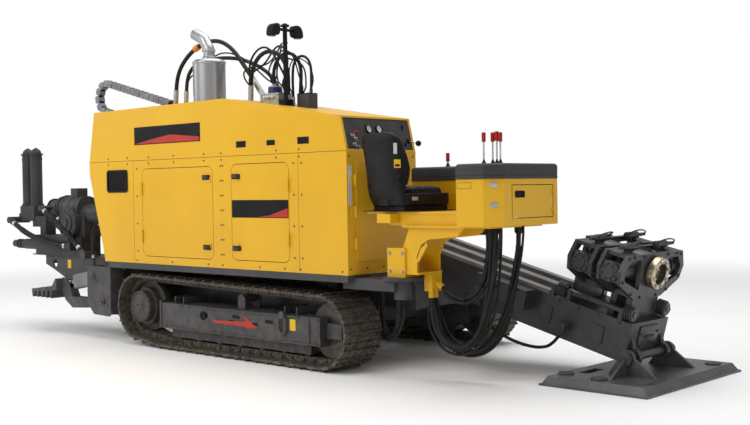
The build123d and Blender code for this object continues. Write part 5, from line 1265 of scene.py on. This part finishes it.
def consolePieces(s):
    # Latches: slabs turned by 45 degrees. Seal and pull: rounded rectangles at steps of depth
    front = s["front"]
    # Two latches on the cut corner
    forms = []
    a = -math.pi / 4
    spin = np.array([[math.cos(a), math.sin(a), 0], [-math.sin(a), math.cos(a), 0], [0, 0, 1]])
    for z in s["latches"]:
        for reach, size, corner in ((.0025, (.005, .052, .034), .006), (.009, (.010, .036, .018), .005)):
            points, faces = slab((reach, 0, 0), size, corner, .0012, "x")
            forms.append((points @ spin + np.array((*s["corner"], z)), faces))
    addPiece("console_latches", joined(forms), "zincSteel", "station")
    x, y, z = s["label"]
    edges = [slab((x, y, z + h), (.120, .0012, .0022), .0008, .0003, "y") for h in (-.020, .020)]
    edges += [slab((x + w, y, z), (.0022, .0012, .040), .0008, .0003, "y") for w in (-.060, .060)]
    addPiece("console_label", joined(edges), "blackPlastic", "station")
    y0, y1, z0, z1 = s["door"]
    grid = []
    for grow, out in ((.0048, -.012), (.0048, .0012), (.0020, .0012), (.0020, -.012)):
        flat = ringOutline(y1 - y0 + 2 * grow, z1 - z0 + 2 * grow, .004, 3)
        grid.append(atLevel(flat, "x", front + out, ((y0 + y1) / 2, (z0 + z1) / 2)))
    g = np.stack(grid + grid[:1])
    seal = (g.reshape(-1, 3), gridFaces(5, g.shape[1], True).tolist())
    addPiece("console_door_seal", seal, "blackPlastic", "station")
    # A recessed black pull in the door
    cy, cz = s["pull"]
    dish = []
    for w, h, c, out in ((.110, .046, .010, 0), (.110, .046, .010, .004), (.100, .036, .008, .005),
                         (.094, .030, .007, -.003)):
        flat = ringOutline(w, h, c, 6)
        dish.append(atLevel(flat, "x", front + out, (cy, cz)))
    key = turned([(0, .009), (.003, .009), (.004, .007), (.004, .0001)], (front - .002, cy + .032, cz),
                 (1, 0, 0), 20)
    addPiece("console_door_pull", joined([skin(np.stack(dish)), key]), "blackPlastic", "console_door")


consoleCover(station)
consolePieces(console)

# Control levers: x, y, height of the top
levers = ((2.700, -.790, 1.766), (2.740, -.740, 1.766), (2.775, -.740, 1.772), (2.805, -.740, 1.764),
          (2.060, -.400, 1.650))


def leverPieces():
    # Knobs and boots are turned profiles; each fold of a boot is 3 mm narrower
    knobs, boots = [], []
    for x, y, top in levers:
        # A rounded cylinder: the radius runs full between two quarter rounds
        a = np.linspace(0, math.pi / 2, 5)
        profile = [(.004 * (1 - math.cos(b)), .0110 + .0035 * math.sin(b)) for b in a]
        profile += [(.062 + .004 * math.sin(b), .0105 + .0040 * math.cos(b)) for b in a] + [(.066, .0001)]
        knobs.append(turned(profile, (x, y, top - .062), (0, 0, 1), 24))
        folds = [(-.001, .020)]
        for n in range(4):
            folds += [(.003 + .006 * n, .0195 - .003 * n), (.006 + .006 * n, .0160 - .003 * n)]
        boots.append(turned(folds + [(.032, .0065)], (x, y, 1.550), (0, 0, 1), 24))
    addPiece("lever_knobs", joined(knobs), "redPlastic", "station")
    addPiece("lever_boots", joined(boots), "blackPlastic", "station")


leverPieces()

# Station arm: knuckle bolts, gussets, a ribbed bellows behind it, and labels
arm = {"x": 2.020, "y": -.890}


def armPieces(s):
    # Bolts at equal angles; the bellows is a tube of radius 30 mm + 5 mm * cosine of 14 turns
    x, y = s["x"], s["y"]
    ring = [(x + .128 * math.cos(a), y + .128 * math.sin(a), .7225) for a in np.arange(10) * math.pi / 5]
    under = joined([boltHeads(ring, (0, 0, -1), .010, .009)])
    addPiece("swing_flange_bolts", under, "wheelIron", "chassis")
    heads = boltHeads([(x - .055, y - .078, z) for z in (.79, .92)]
                      + [(x + .065, y - .078, z) for z in (.79, .92)], (0, -1, 0), .011, .010)
    addPiece("knuckle_bolts", heads, "goldZinc", "station")
    line = bezier([(x + .150, y + .280, 1.085), (x + .330, y + .290, 1.075), (x + .520, y + .300, 1.080)], 90)
    wave = .030 + .005 * np.cos(np.linspace(0, 2 * math.pi * 14, len(line)))
    addPiece("arm_bellows", tube(line, wave, 20), "blackPlastic", "station")
    gusset = [(x + .190, .860), (x + .215, .865), (x + .300, .985), (x + .290, 1.000), (x + .235, .960)]
    grid = np.stack([np.array([(a, y - .061 - h, b) for a, b in gusset]) for h in (0, .008)])
    addPiece("arm_gusset", skin(grid), "bodyPaint", "station")
    addPiece("seat_base_plate", slab((1.975, -.755, 1.2260), (.520, .480, .006), .030, .002, "z"),
             "blackPlastic", "station")


armPieces(arm)
print("station dressed")

# Seat: a moulded shell with wings, and two padded cushions that are swollen by a cloth simulation.
# Its own axes are x forwards, y left and z up from the plate that it stands on.
seat = {
    "place": (1.980, -.760, 1.222), "turn": 75, "half": .222, "wall": .048, "top": .572, "corner": .075,
    "front": ((.050, -.165), (.190, -.165), (.196, -.150), (.250, -.132), (.314, -.122), (.400, -.146),
              (.500, -.190), (.572, -.240)),
    "cushion": {"low": (-.128, -.186, .0805), "high": (.200, .186, .168), "corner": .06, "cap": .022,
                "voxel": .0055},
    "back": {"low": (0, -.148, .212), "high": (0, .148, .528), "corner": .04, "cap": .016, "voxel": .005},
}


def onSeat(points):
    # Turned about the upright axis, then moved to the seat's place
    p = np.asarray(points, float)
    c, d = math.cos(math.radians(seat["turn"])), math.sin(math.radians(seat["turn"]))
    x, y, z = seat["place"]
    return np.stack([x + c * p[..., 0] - d * p[..., 1], y + d * p[..., 0] + c * p[..., 1], z + p[..., 2]], -1)


def offSeat(points):
    # The way back into the seat's own axes
    p = np.asarray(points, float) - seat["place"]
    c, d = math.cos(math.radians(seat["turn"])), math.sin(math.radians(seat["turn"]))
    return np.stack([c * p[..., 0] + d * p[..., 1], c * p[..., 1] - d * p[..., 0], p[..., 2]], -1)


def seatShell(s):
    # Level by level a U seen from above: its rear leans back, its wings follow the front line,
    # and near the top the whole U narrows by a quarter circle
    heights = np.concatenate([np.linspace(.050, .190, 6), np.linspace(.196, s["top"] - s["corner"], 14),
                              s["top"] - s["corner"]
                              + s["corner"] * np.sin(np.linspace(.15, math.pi / 2, 9))])
    line = np.array(s["front"])
    rings = []
    for z in heights:
        rise = max(0, z - (s["top"] - s["corner"])) / s["corner"]
        pull = s["corner"] * (1 - math.sqrt(max(0, 1 - min(1, rise) ** 2)))
        tuck = .030 * max(0, 1 - (z - .05) / .09) ** 2
        w = s["half"] - pull - tuck * .5
        rear = -.228 - .150 * (z - .060) - .018 * math.sin(math.pi * (z - .05) / .55) + .35 * pull + tuck
        front = np.interp(z, line[:, 0], line[:, 1]) - .35 * pull
        inner = min(-.186 - .130 * (z - .060), front - .006)
        t = s["wall"]
        ring = np.array([(front, w), (rear, w), (rear, -w), (front, -w), (front, -w + t), (inner, -w + t),
                         (inner, w - t), (front, w - t)])
        flat = softenLoop(ring)
        rings.append(atLevel(flat, "z", z))
    grid = onSeat(np.stack(rings))
    shell = addPiece("seat_moulding", skin(grid), "seatVinyl", "station")
    forms = []
    for centre, size, corner in (((.010, 0, .020), (.400, .410, .040), .02),
                                 ((-.190, 0, .085), (.078, .140, .090), .02)):
        points, faces = slab(centre, size, corner, .004, "z")
        forms.append((onSeat(points), faces))
    # The pan is a tub: its outline goes up outside, over a round lip and down inside to the cushion's floor
    rings = []
    for inset, z in ((.040, .0395), (.010, .042), (0, .054), (0, .122), (.003, .130), (.008, .132),
                     (.013, .130), (.0155, .122), (.0155, .0785)):
        flat = ringOutline(.450 - 2 * inset, .450 - 2 * inset, .075 - inset, 8)
        rings.append(atLevel(flat, "z", z, (.010, 0)))
    forms.append(skin(onSeat(np.stack(rings))))
    base = addPiece("seat_pan", joined(forms), "seatVinyl", "station")
    for piece in (shell, base):
        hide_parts("seat_shell")


def stuffed(name, node, form, cap, voxel, hold, seams):
    # The closed form is remeshed, blown up a little as cloth, held in its room, then sewn: seams push the
    # skin in by a bell curve of the distance to the seam line
    piece = addPiece(name, form, "seatVinyl", "station")
    mesh = piece.data
    even = piece.modifiers.new("even", "REMESH")
    even.mode = "VOXEL"
    even.voxel_size = voxel
    bpy.context.view_layer.update()
    mesh = bpy.data.meshes.new_from_object(piece.evaluated_get(bpy.context.evaluated_depsgraph_get()))
    piece.modifiers.clear()
    piece.data = mesh
    count = len(mesh.vertices)
    start = np.empty(count * 3)
    mesh.vertices.foreach_get("co", start)
    start = start.reshape(-1, 3)
    cloth = piece.modifiers.new("stuffing", "CLOTH")
    cloth.settings.use_pressure = True
    cloth.settings.uniform_pressure_force = 4
    cloth.settings.effector_weights.gravity = 0
    cloth.point_cache.frame_start = 1
    cloth.point_cache.frame_end = 20
    for step in range(1, 21):
        bpy.context.scene.frame_set(step)
    swollen = piece.evaluated_get(bpy.context.evaluated_depsgraph_get()).data
    moved = np.empty(count * 3)
    swollen.vertices.foreach_get("co", moved)
    swell = moved.reshape(-1, 3) - start
    size = np.linalg.norm(swell, axis=1, keepdims=True)
    places = start + swell * np.minimum(1, cap / np.maximum(size, 1e-9))
    piece.modifiers.clear()
    bpy.context.scene.frame_set(1)
    own = seams(hold(offSeat(places)))
    mesh.vertices.foreach_set("co", onSeat(own).ravel())
    mesh.update()
    mesh.materials.clear()
    mesh.materials.append(paint["seatVinyl"])
    mesh.shade_smooth()
    fine = piece.modifiers.new("fine", "SUBSURF")
    fine.levels = 1
    fine.render_levels = 1
    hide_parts(node)
    return piece


def bell(distance, width):
    # e to the power of -(distance / width) squared: 1 on a seam, fading to both sides
    return np.exp(-(distance / width) ** 2)


def shellFront(z):
    # The seat shell's front face at height z: it leans back by .13 for each unit up
    return -.185 - .13 * (z - .060)


def seatPads(s):
    # Cushion: a rounded slab. Back: rounded rectangles at shares of the way from the rear to the front line
    c = s["cushion"]
    low, high = np.array(c["low"]), np.array(c["high"])
    points, faces = slab((low + high) / 2, high - low, c["corner"], .022, "z", 7)

    def holdCushion(p):
        # flat on the pan, inside the solid's room, with raised sides
        rim = np.clip((np.abs(p[:, 1]) - .10) / .06, 0, 1)
        p[:, 2] += np.where(p[:, 2] > .15, .010 * rim * rim * (3 - 2 * rim) - .004, 0)
        wide = np.where(p[:, 2] > .134, .2165, .2075)
        return np.clip(p, np.stack([np.full(len(p), -.1495), -wide, np.full(len(p), .0795)], 1),
                       np.stack([np.where(p[:, 2] > .134, .2275, .2175), wide, np.full(len(p), .1895)], 1))

    def sewCushion(p):
        # Grooves are bells of the distance to each seam: 6 mm deep on top, 1% of the width at the side
        top = np.clip((p[:, 2] - .150) / .02, 0, 1)
        lines = bell(np.abs(p[:, 1]) - .128, .0065) * (p[:, 0] < .150)
        across = sum(bell(p[:, 0] - x, .0065) for x in (-.060, .045, .150)) * (np.abs(p[:, 1]) < .128)
        p[:, 2] -= .006 * top * np.maximum(lines, across)
        side = bell(p[:, 2] - .128, .004) * (1 - top)
        p[:, :2] *= 1 - .010 * side[:, None]
        return p

    stuffed("seat_cushion_pad", "seat_cushion", (onSeat(points), faces), c["cap"], c["voxel"], holdCushion,
            sewCushion)

    b = s["back"]
    rings = []
    flat = ringOutline(b["high"][1] - b["low"][1], b["high"][2] - b["low"][2], b["corner"], 7)
    middle = (b["low"][2] + b["high"][2]) / 2
    for share, shrink in ((0, .90), (.12, .97), (.35, 1), (.65, 1), (.88, .97), (1, .90)):
        y, h = flat[:, 0] * shrink, middle + flat[:, 1] * shrink
        rear = shellFront(h) + .004
        front = -.118 - .162 * (h - .200) - .004
        rings.append(np.column_stack([rear + (front - rear) * share, y, h]))

    def holdBack(p):
        # flat against the shell, and never further out than the solid's front
        rear = shellFront(p[:, 2]) + .0025
        front = -.1085 - .162 * (p[:, 2] - .200)
        p[:, 0] = np.clip(p[:, 0], rear, front)
        p[:, 1] = np.clip(p[:, 1], -.1725, .1725)
        p[:, 2] = np.clip(p[:, 2], .2005, .5395)
        return p

    def sewBack(p):
        # Grooves are bells of the distance to each seam, two upright and three across, 7 mm deep
        face = np.clip((p[:, 0] - shellFront(p[:, 2]) - .045) / .02, 0, 1)
        lines = bell(np.abs(p[:, 1]) - .095, .006)
        across = sum(bell(p[:, 2] - h, .006) for h in (.290, .365, .440)) * (np.abs(p[:, 1]) < .095)
        p[:, 0] -= .007 * face * np.maximum(lines, across)
        return p

    points, faces = skin(np.stack(rings))
    stuffed("seat_back_pad", "seat_back", (onSeat(points), faces), b["cap"], b["voxel"], holdBack, sewBack)


def seatLabels(s):
    # Blank tags on the near wing, and the knob of its recliner
    side = -s["half"] - .0004
    forms = {"seat_label_pale": ((-.262, side, .453), (.030, .0012, .078), "paleBlank"),
             "seat_label_yellow": ((-.246, side, .345), (.056, .0012, .060), "signYellow")}
    for name, (centre, size, finish) in forms.items():
        points, faces = slab(centre, size, .003, .0003, "y")
        addPiece(name, (onSeat(points), faces), finish, "station")
    points, faces = slab((-.246, side - .0008, .333), (.040, .0008, .016), .002, .0002, "y")
    addPiece("seat_label_mark", (onSeat(points), faces), "blackPlastic", "station")
    centre = onSeat((-.232, side, .248))
    out = onSeat((0, -1, 0)) - onSeat((0, 0, 0))
    knob = turned([(-.004, .024), (.006, .024), (.010, .020), (.020, .018), (.022, .015), (.022, .0001)],
                  centre, out, 28)
    addPiece("seat_recliner", knob, "blackPlastic", "station")
    points, faces = slab((-.100, -.2260, .094), (.054, .0016, .026), .004, .0004, "y")
    addPiece("seat_tag", (onSeat(points), faces), "blockAlloy", "station")


seatShell(seat)
seatPads(seat)
seatLabels(seat)
print("seat padded")

# Hose dress: ribbed guards, thinner strands tied alongside, straps and bright end sleeves.
# guard: the share of the route that is wrapped. strands: radius, reach, start angle, turns.
hoseDress = {
    "station_hose_1": {"guard": (.04, .90), "strands": ((.012, .034, .4, .45), (.010, .040, 2.3, .35)),
                       "end": 1.128},
    "station_hose_2": {"guard": (.03, .94), "strands": ((.013, .036, 2.9, .4), (.011, .038, 4.6, .5),
                                                        (.009, .044, .9, .3)), "end": 1.128},
    "station_hose_3": {"guard": (.03, .94), "strands": ((.013, .036, 1.2, .4), (.012, .037, 3.6, .5),
                                                        (.009, .046, 5.2, .3)), "end": 1.128},
    "belly_hose_1": {"guard": (.05, .92), "strands": ((.011, .030, 1.2, .6), (.009, .036, 4.0, .5)),
                     "end": None},
    "pump_hose_1": {"guard": (.16, .86), "strands": (), "end": None},
    "pump_hose_2": {"guard": (.22, .80), "strands": ((.010, .040, 1.1, .3),), "end": None},
    "roof_hose_2": {"guard": None, "strands": ((.007, .045, 4.2, 1.2),), "end": None},
    "roof_hose_3": {"guard": None, "strands": ((.009, .050, .5, .8), (.008, .070, 3.4, 1.1),
                                               (.007, .090, 1.9, 1.6)), "end": None},
    "roof_hose_4": {"guard": None, "strands": ((.007, .044, 2.0, .9), (.006, .030, 5.0, 1.3)), "end": None},
    "roof_hose_5": {"guard": None, "strands": ((.005, .030, 1.0, .9),), "end": None},
    "outrigger_hose_1": {"guard": None, "strands": ((.008, .026, 1.4, .2),), "end": None},
}


def routeLine(curve):
    # The hose's own centre line, read from its curve without the round section
    plain = curve.data.copy()
    plain.bevel_depth = 0
    plain.resolution_u = 24
    holder = bpy.data.objects.new("routeHolder", plain)
    bpy.context.scene.collection.objects.link(holder)
    bpy.context.view_layer.update()
    mesh = bpy.data.meshes.new_from_object(holder.evaluated_get(bpy.context.evaluated_depsgraph_get()))
    p = np.empty(len(mesh.vertices) * 3)
    mesh.vertices.foreach_get("co", p)
    bpy.data.objects.remove(holder)
    bpy.data.curves.remove(plain)
    bpy.data.meshes.remove(mesh)
    return p.reshape(-1, 3)


def evenly(line, gap):
    # The same line with points at equal distances along it
    run = np.concatenate([[0], np.cumsum(np.linalg.norm(np.diff(line, axis=0), axis=1))])
    s = np.linspace(0, run[-1], max(4, int(run[-1] / gap)))
    return np.column_stack([np.interp(s, run, line[:, i]) for i in range(3)]), s


def ribGuard(line, radius, share):
    # A band wound on the hose: r = radius + rib * |sin(pi (s / pitch - t / 2 pi))| ^ 0.4
    p, s = evenly(line, .0032)
    keep = (s >= share[0] * s[-1]) & (s <= share[1] * s[-1])
    p, s = p[keep], s[keep]
    p, _, a, b = pathFrames(p)
    t = np.linspace(0, 2 * math.pi, 12, endpoint=False)
    wave = np.abs(np.sin(math.pi * (s[:, None] / .016 - t[None] / (2 * math.pi)))) ** .4
    r = (radius + .0006 + .0034 * wave)[:, :, None]
    grid = p[:, None] + r * (np.cos(t)[None, :, None] * a[:, None] + np.sin(t)[None, :, None] * b[:, None])
    return skin(grid)


def strandForm(line, radius, reach, angle, turns, end):
    # Beside the hose: offset = reach * swell, turning slowly. It merges at the start, and at both ends
    # unless it runs on up to the console
    p, s = evenly(line, .012)
    p, _, a, b = pathFrames(p)
    u = s / s[-1]
    swell = np.clip(u / .12, 0, 1) ** .7
    if end is None:
        swell *= np.clip((1 - u) / .12, 0, 1) ** .7
    phase = angle + 2 * math.pi * turns * u + .25 * np.sin(9 * u + angle)
    q = p + (reach * swell)[:, None] * (np.cos(phase)[:, None] * a + np.sin(phase)[:, None] * b)
    if end is not None:
        q = np.vstack([q, q[-1] * (1, 1, 0) + (0, 0, end)])
    return tube(q, radius, 10)


def dressHoses():
    # Along each hose's line: a guard, strands, straps as circles round them all, and end sleeves
    for name, curve in hoseCurves.items():
        body, radius, length, _ = hoses[name]
        d = hoseDress.get(name)
        if d:
            line = routeLine(curve)
            if d["guard"]:
                addPiece(name + "_guard", ribGuard(line, radius, d["guard"]), "hoseRubber",
                                       body)
            forms = [strandForm(line, *strand, d["end"]) for strand in d["strands"]]
            if forms:
                addPiece(name + "_strands", joined(forms), "hoseRubber", body)
            p, _ = evenly(line, .01)
            _, along, across, other = pathFrames(p)
            turn = np.linspace(0, 2 * math.pi, 29)[:, None]
            if d["guard"] and d["strands"]:
                ties = []
                reach = max(strand[1] for strand in d["strands"]) * .62 + radius * .6
                for share in (.30, .52, .74):
                    n = int(share * len(p))
                    ties.append(tube(p[n] + reach * (np.cos(turn) * across[n] + np.sin(turn) * other[n]),
                                     .0035, 8))
                addPiece(name + "_straps", joined(ties), "blackPlastic", body)
            if name.startswith(("pump", "outrigger")):
                sleeves = []
                for n in (3, len(p) - 7):
                    sleeves.append(turned([(-.016, radius - .001), (-.015, radius + .004),
                                           (.004, radius + .004), (.006, radius + .0015),
                                           (.016, radius + .0015), (.017, radius - .001)], p[n], along[n],
                                           24))
                addPiece(name + "_sleeves", joined(sleeves), "zincSteel", body)


dressHoses()


def roofCaps():
    # An orange sleeve on the longest roof hose, and a yellow filter bowl that stands behind the silencer
    line, _ = evenly(routeLine(hoseCurves["roof_hose_1"]), .01)
    n = int(np.argmin(np.abs(line[:, 0] + .720) + (line[:, 2] < 2.5)))
    _, along, _, _ = pathFrames(line)
    sleeve = turned([(-.034, .0185), (-.032, .028), (.030, .030), (.034, .0185)], line[n], along[n], 24)
    addPiece("roof_hose_sleeve", sleeve, "orangePaint", "chassis")
    low = 2.170
    bowl = [(0, .040), (.010, .052), (.090, .054), (.118, .050), (.134, .036), (.140, .020), (.140, .0001)]
    addPiece("roof_filter", turned(bowl, (-.800, -.480, low), (0, 0, 1), 36), "bodyPaint", "chassis")


roofCaps()


def consoleCollars():
    # A dark nut over each fitting under the console: r steps between two hexagon-like rounds
    forms = []
    for name in ("station_hose_1", "station_hose_2", "station_hose_3"):
        _, radius, _, route = hoses[name]
        x, y, z = route[-1]
        forms.append(turned([(-.012, radius - .001), (-.010, radius + .006), (.004, radius + .0125),
                             (.044, radius + .0125),
                             (.046, radius + .010), (.0505, radius + .010), (.0505, radius - .001)],
                             (x, y, z), (0, 0, 1), 24))
    addPiece("console_collars", joined(forms), "blackPlastic", "station")


consoleCollars()
print("hoses dressed")

# Mud pump: flanges, bolt rings and cooling rings on the CAD's rods
pump = {
    "y": -.750, "dampers": (-3.330, -3.496), "damperRadius": .062,
    # x, z, radius, width, bolts; all face the tail
    "flanges": ((-2.955, 1.240, .098, .018, 8), (-2.972, 1.240, .050, .016, 6),
                (-2.770, 1.240, .122, .016, 10), (-2.700, 1.230, .142, .018, 12)),
    "bands": (-2.640, -2.520, -2.400),
    "cover": (-2.480, 1.090), "coverSteps": ((.158, .016), (.100, .030), (.045, .044)),   # radius, height
    "clamps": (-3.700, -3.640, -3.120, -3.060),
}


def discProfile(r, wide):
    # A disc's edge: drawn in by 2 mm at its foot and 3 mm at its face
    return [(0, r - .002), (.002, r), (wide - .003, r), (wide, r - .003), (wide, .0001)]


def pumpPieces(s):
    # Covers, flanges and straps are turned profiles, with bolts at equal angles round them
    y = s["y"]
    forms, bolts = [], []

    # Each flange has its bolts on a circle 18 mm inside the rim
    for x, z, r, wide, count in s["flanges"]:
        forms.append(turned(discProfile(r, wide), (x, y, z), (-1, 0, 0), 48))
        ring = [(x - wide, y + (r - .018) * math.cos(a), z + (r - .018) * math.sin(a))
                for a in np.arange(count) * 2 * math.pi / count]
        bolts.append(boltHeads(ring, (-1, 0, 0), .009, .008))
    for x in s["bands"]:
        forms.append(turned([(-.008, .128), (-.006, .134), (.006, .134), (.008, .128)], (x, y, 1.230),
                            (1, 0, 0), 48))
    # The gearcase's near cover
    x, z = s["cover"]
    for r, high in s["coverSteps"]:
        forms.append(turned(discProfile(r, high), (x, y - .149, z), (0, -1, 0), 48))
    ring = [(x + .132 * math.cos(a), y - .165, z + .132 * math.sin(a)) for a in np.arange(10) * math.pi / 5]
    bolts.append(boltHeads(ring, (0, -1, 0), .009, .008))
    # Dampers: a strap near the top, a lifting lug on each dome, and bolts round the foot flange
    for x in s["dampers"]:
        r = s["damperRadius"]
        forms.append(turned([(-.010, r - .001), (-.009, r + .003), (.009, r + .003), (.010, r - .001)],
                            (x, y, 1.760), (0, 0, 1), 40))
        forms.append(turned([(0, .018), (.004, .018), (.006, .010), (.010, .010), (.012, .0001)],
                            (x, y, 1.871), (0, 0, 1), 20))
        ring = [(x + (r + .004) * math.cos(a), y + (r + .004) * math.sin(a), 1.276)
                for a in np.arange(8) * math.pi / 4 + .39]
        bolts.append(boltHeads(ring, (0, 0, 1), .006, .006))
    # Suction pipe: clamp rings
    for x in s["clamps"]:
        forms.append(turned([(-.012, .038), (-.010, .050), (.010, .050), (.012, .038)], (x, y, .850),
                            (1, 0, 0), 36))
    addPiece("pump_flanges", joined(forms), "pumpPaint", "chassis")
    addPiece("pump_bolts", joined(bolts), "wheelIron", "chassis")


pumpPieces(pump)

# Tail trim: the outrigger cheeks' pin heads with their keeper plates, and the sticker on the deck's side
trim = {"pins": ((-1.807, .585), (-1.645, .355)), "radius": .040, "side": 1.050,
        "sticker": (-2.596, -.8206, .668)}


def trimPieces(s):
    # A stepped profile turned about y at each pin, with a keeper slab beside it
    heads = []
    r = s["radius"]
    for x, z in s["pins"]:
        for side in (-1, 1):
            heads.append(turned([(-.002, r), (.010, r), (.014, r - .004), (.014, r * .5), (.026, r * .45),
                                 (.028, r * .3), (.028, .0001)],
                                (x, side * s["side"], z), (0, side, 0), 28))
            heads.append(slab((x + .045, side * (s["side"] + .003), z - .030), (.060, .006, .026),
                              .005, .001, "y"))
    addPiece("outrigger_pin_heads", joined(heads), "wheelIron", "chassis")
    addPiece("tail_sticker", slab(s["sticker"], (.062, .0012, .086), .004, .0003, "y"), "signYellow",
             "chassis")


trimPieces(trim)
print("tail dressed")
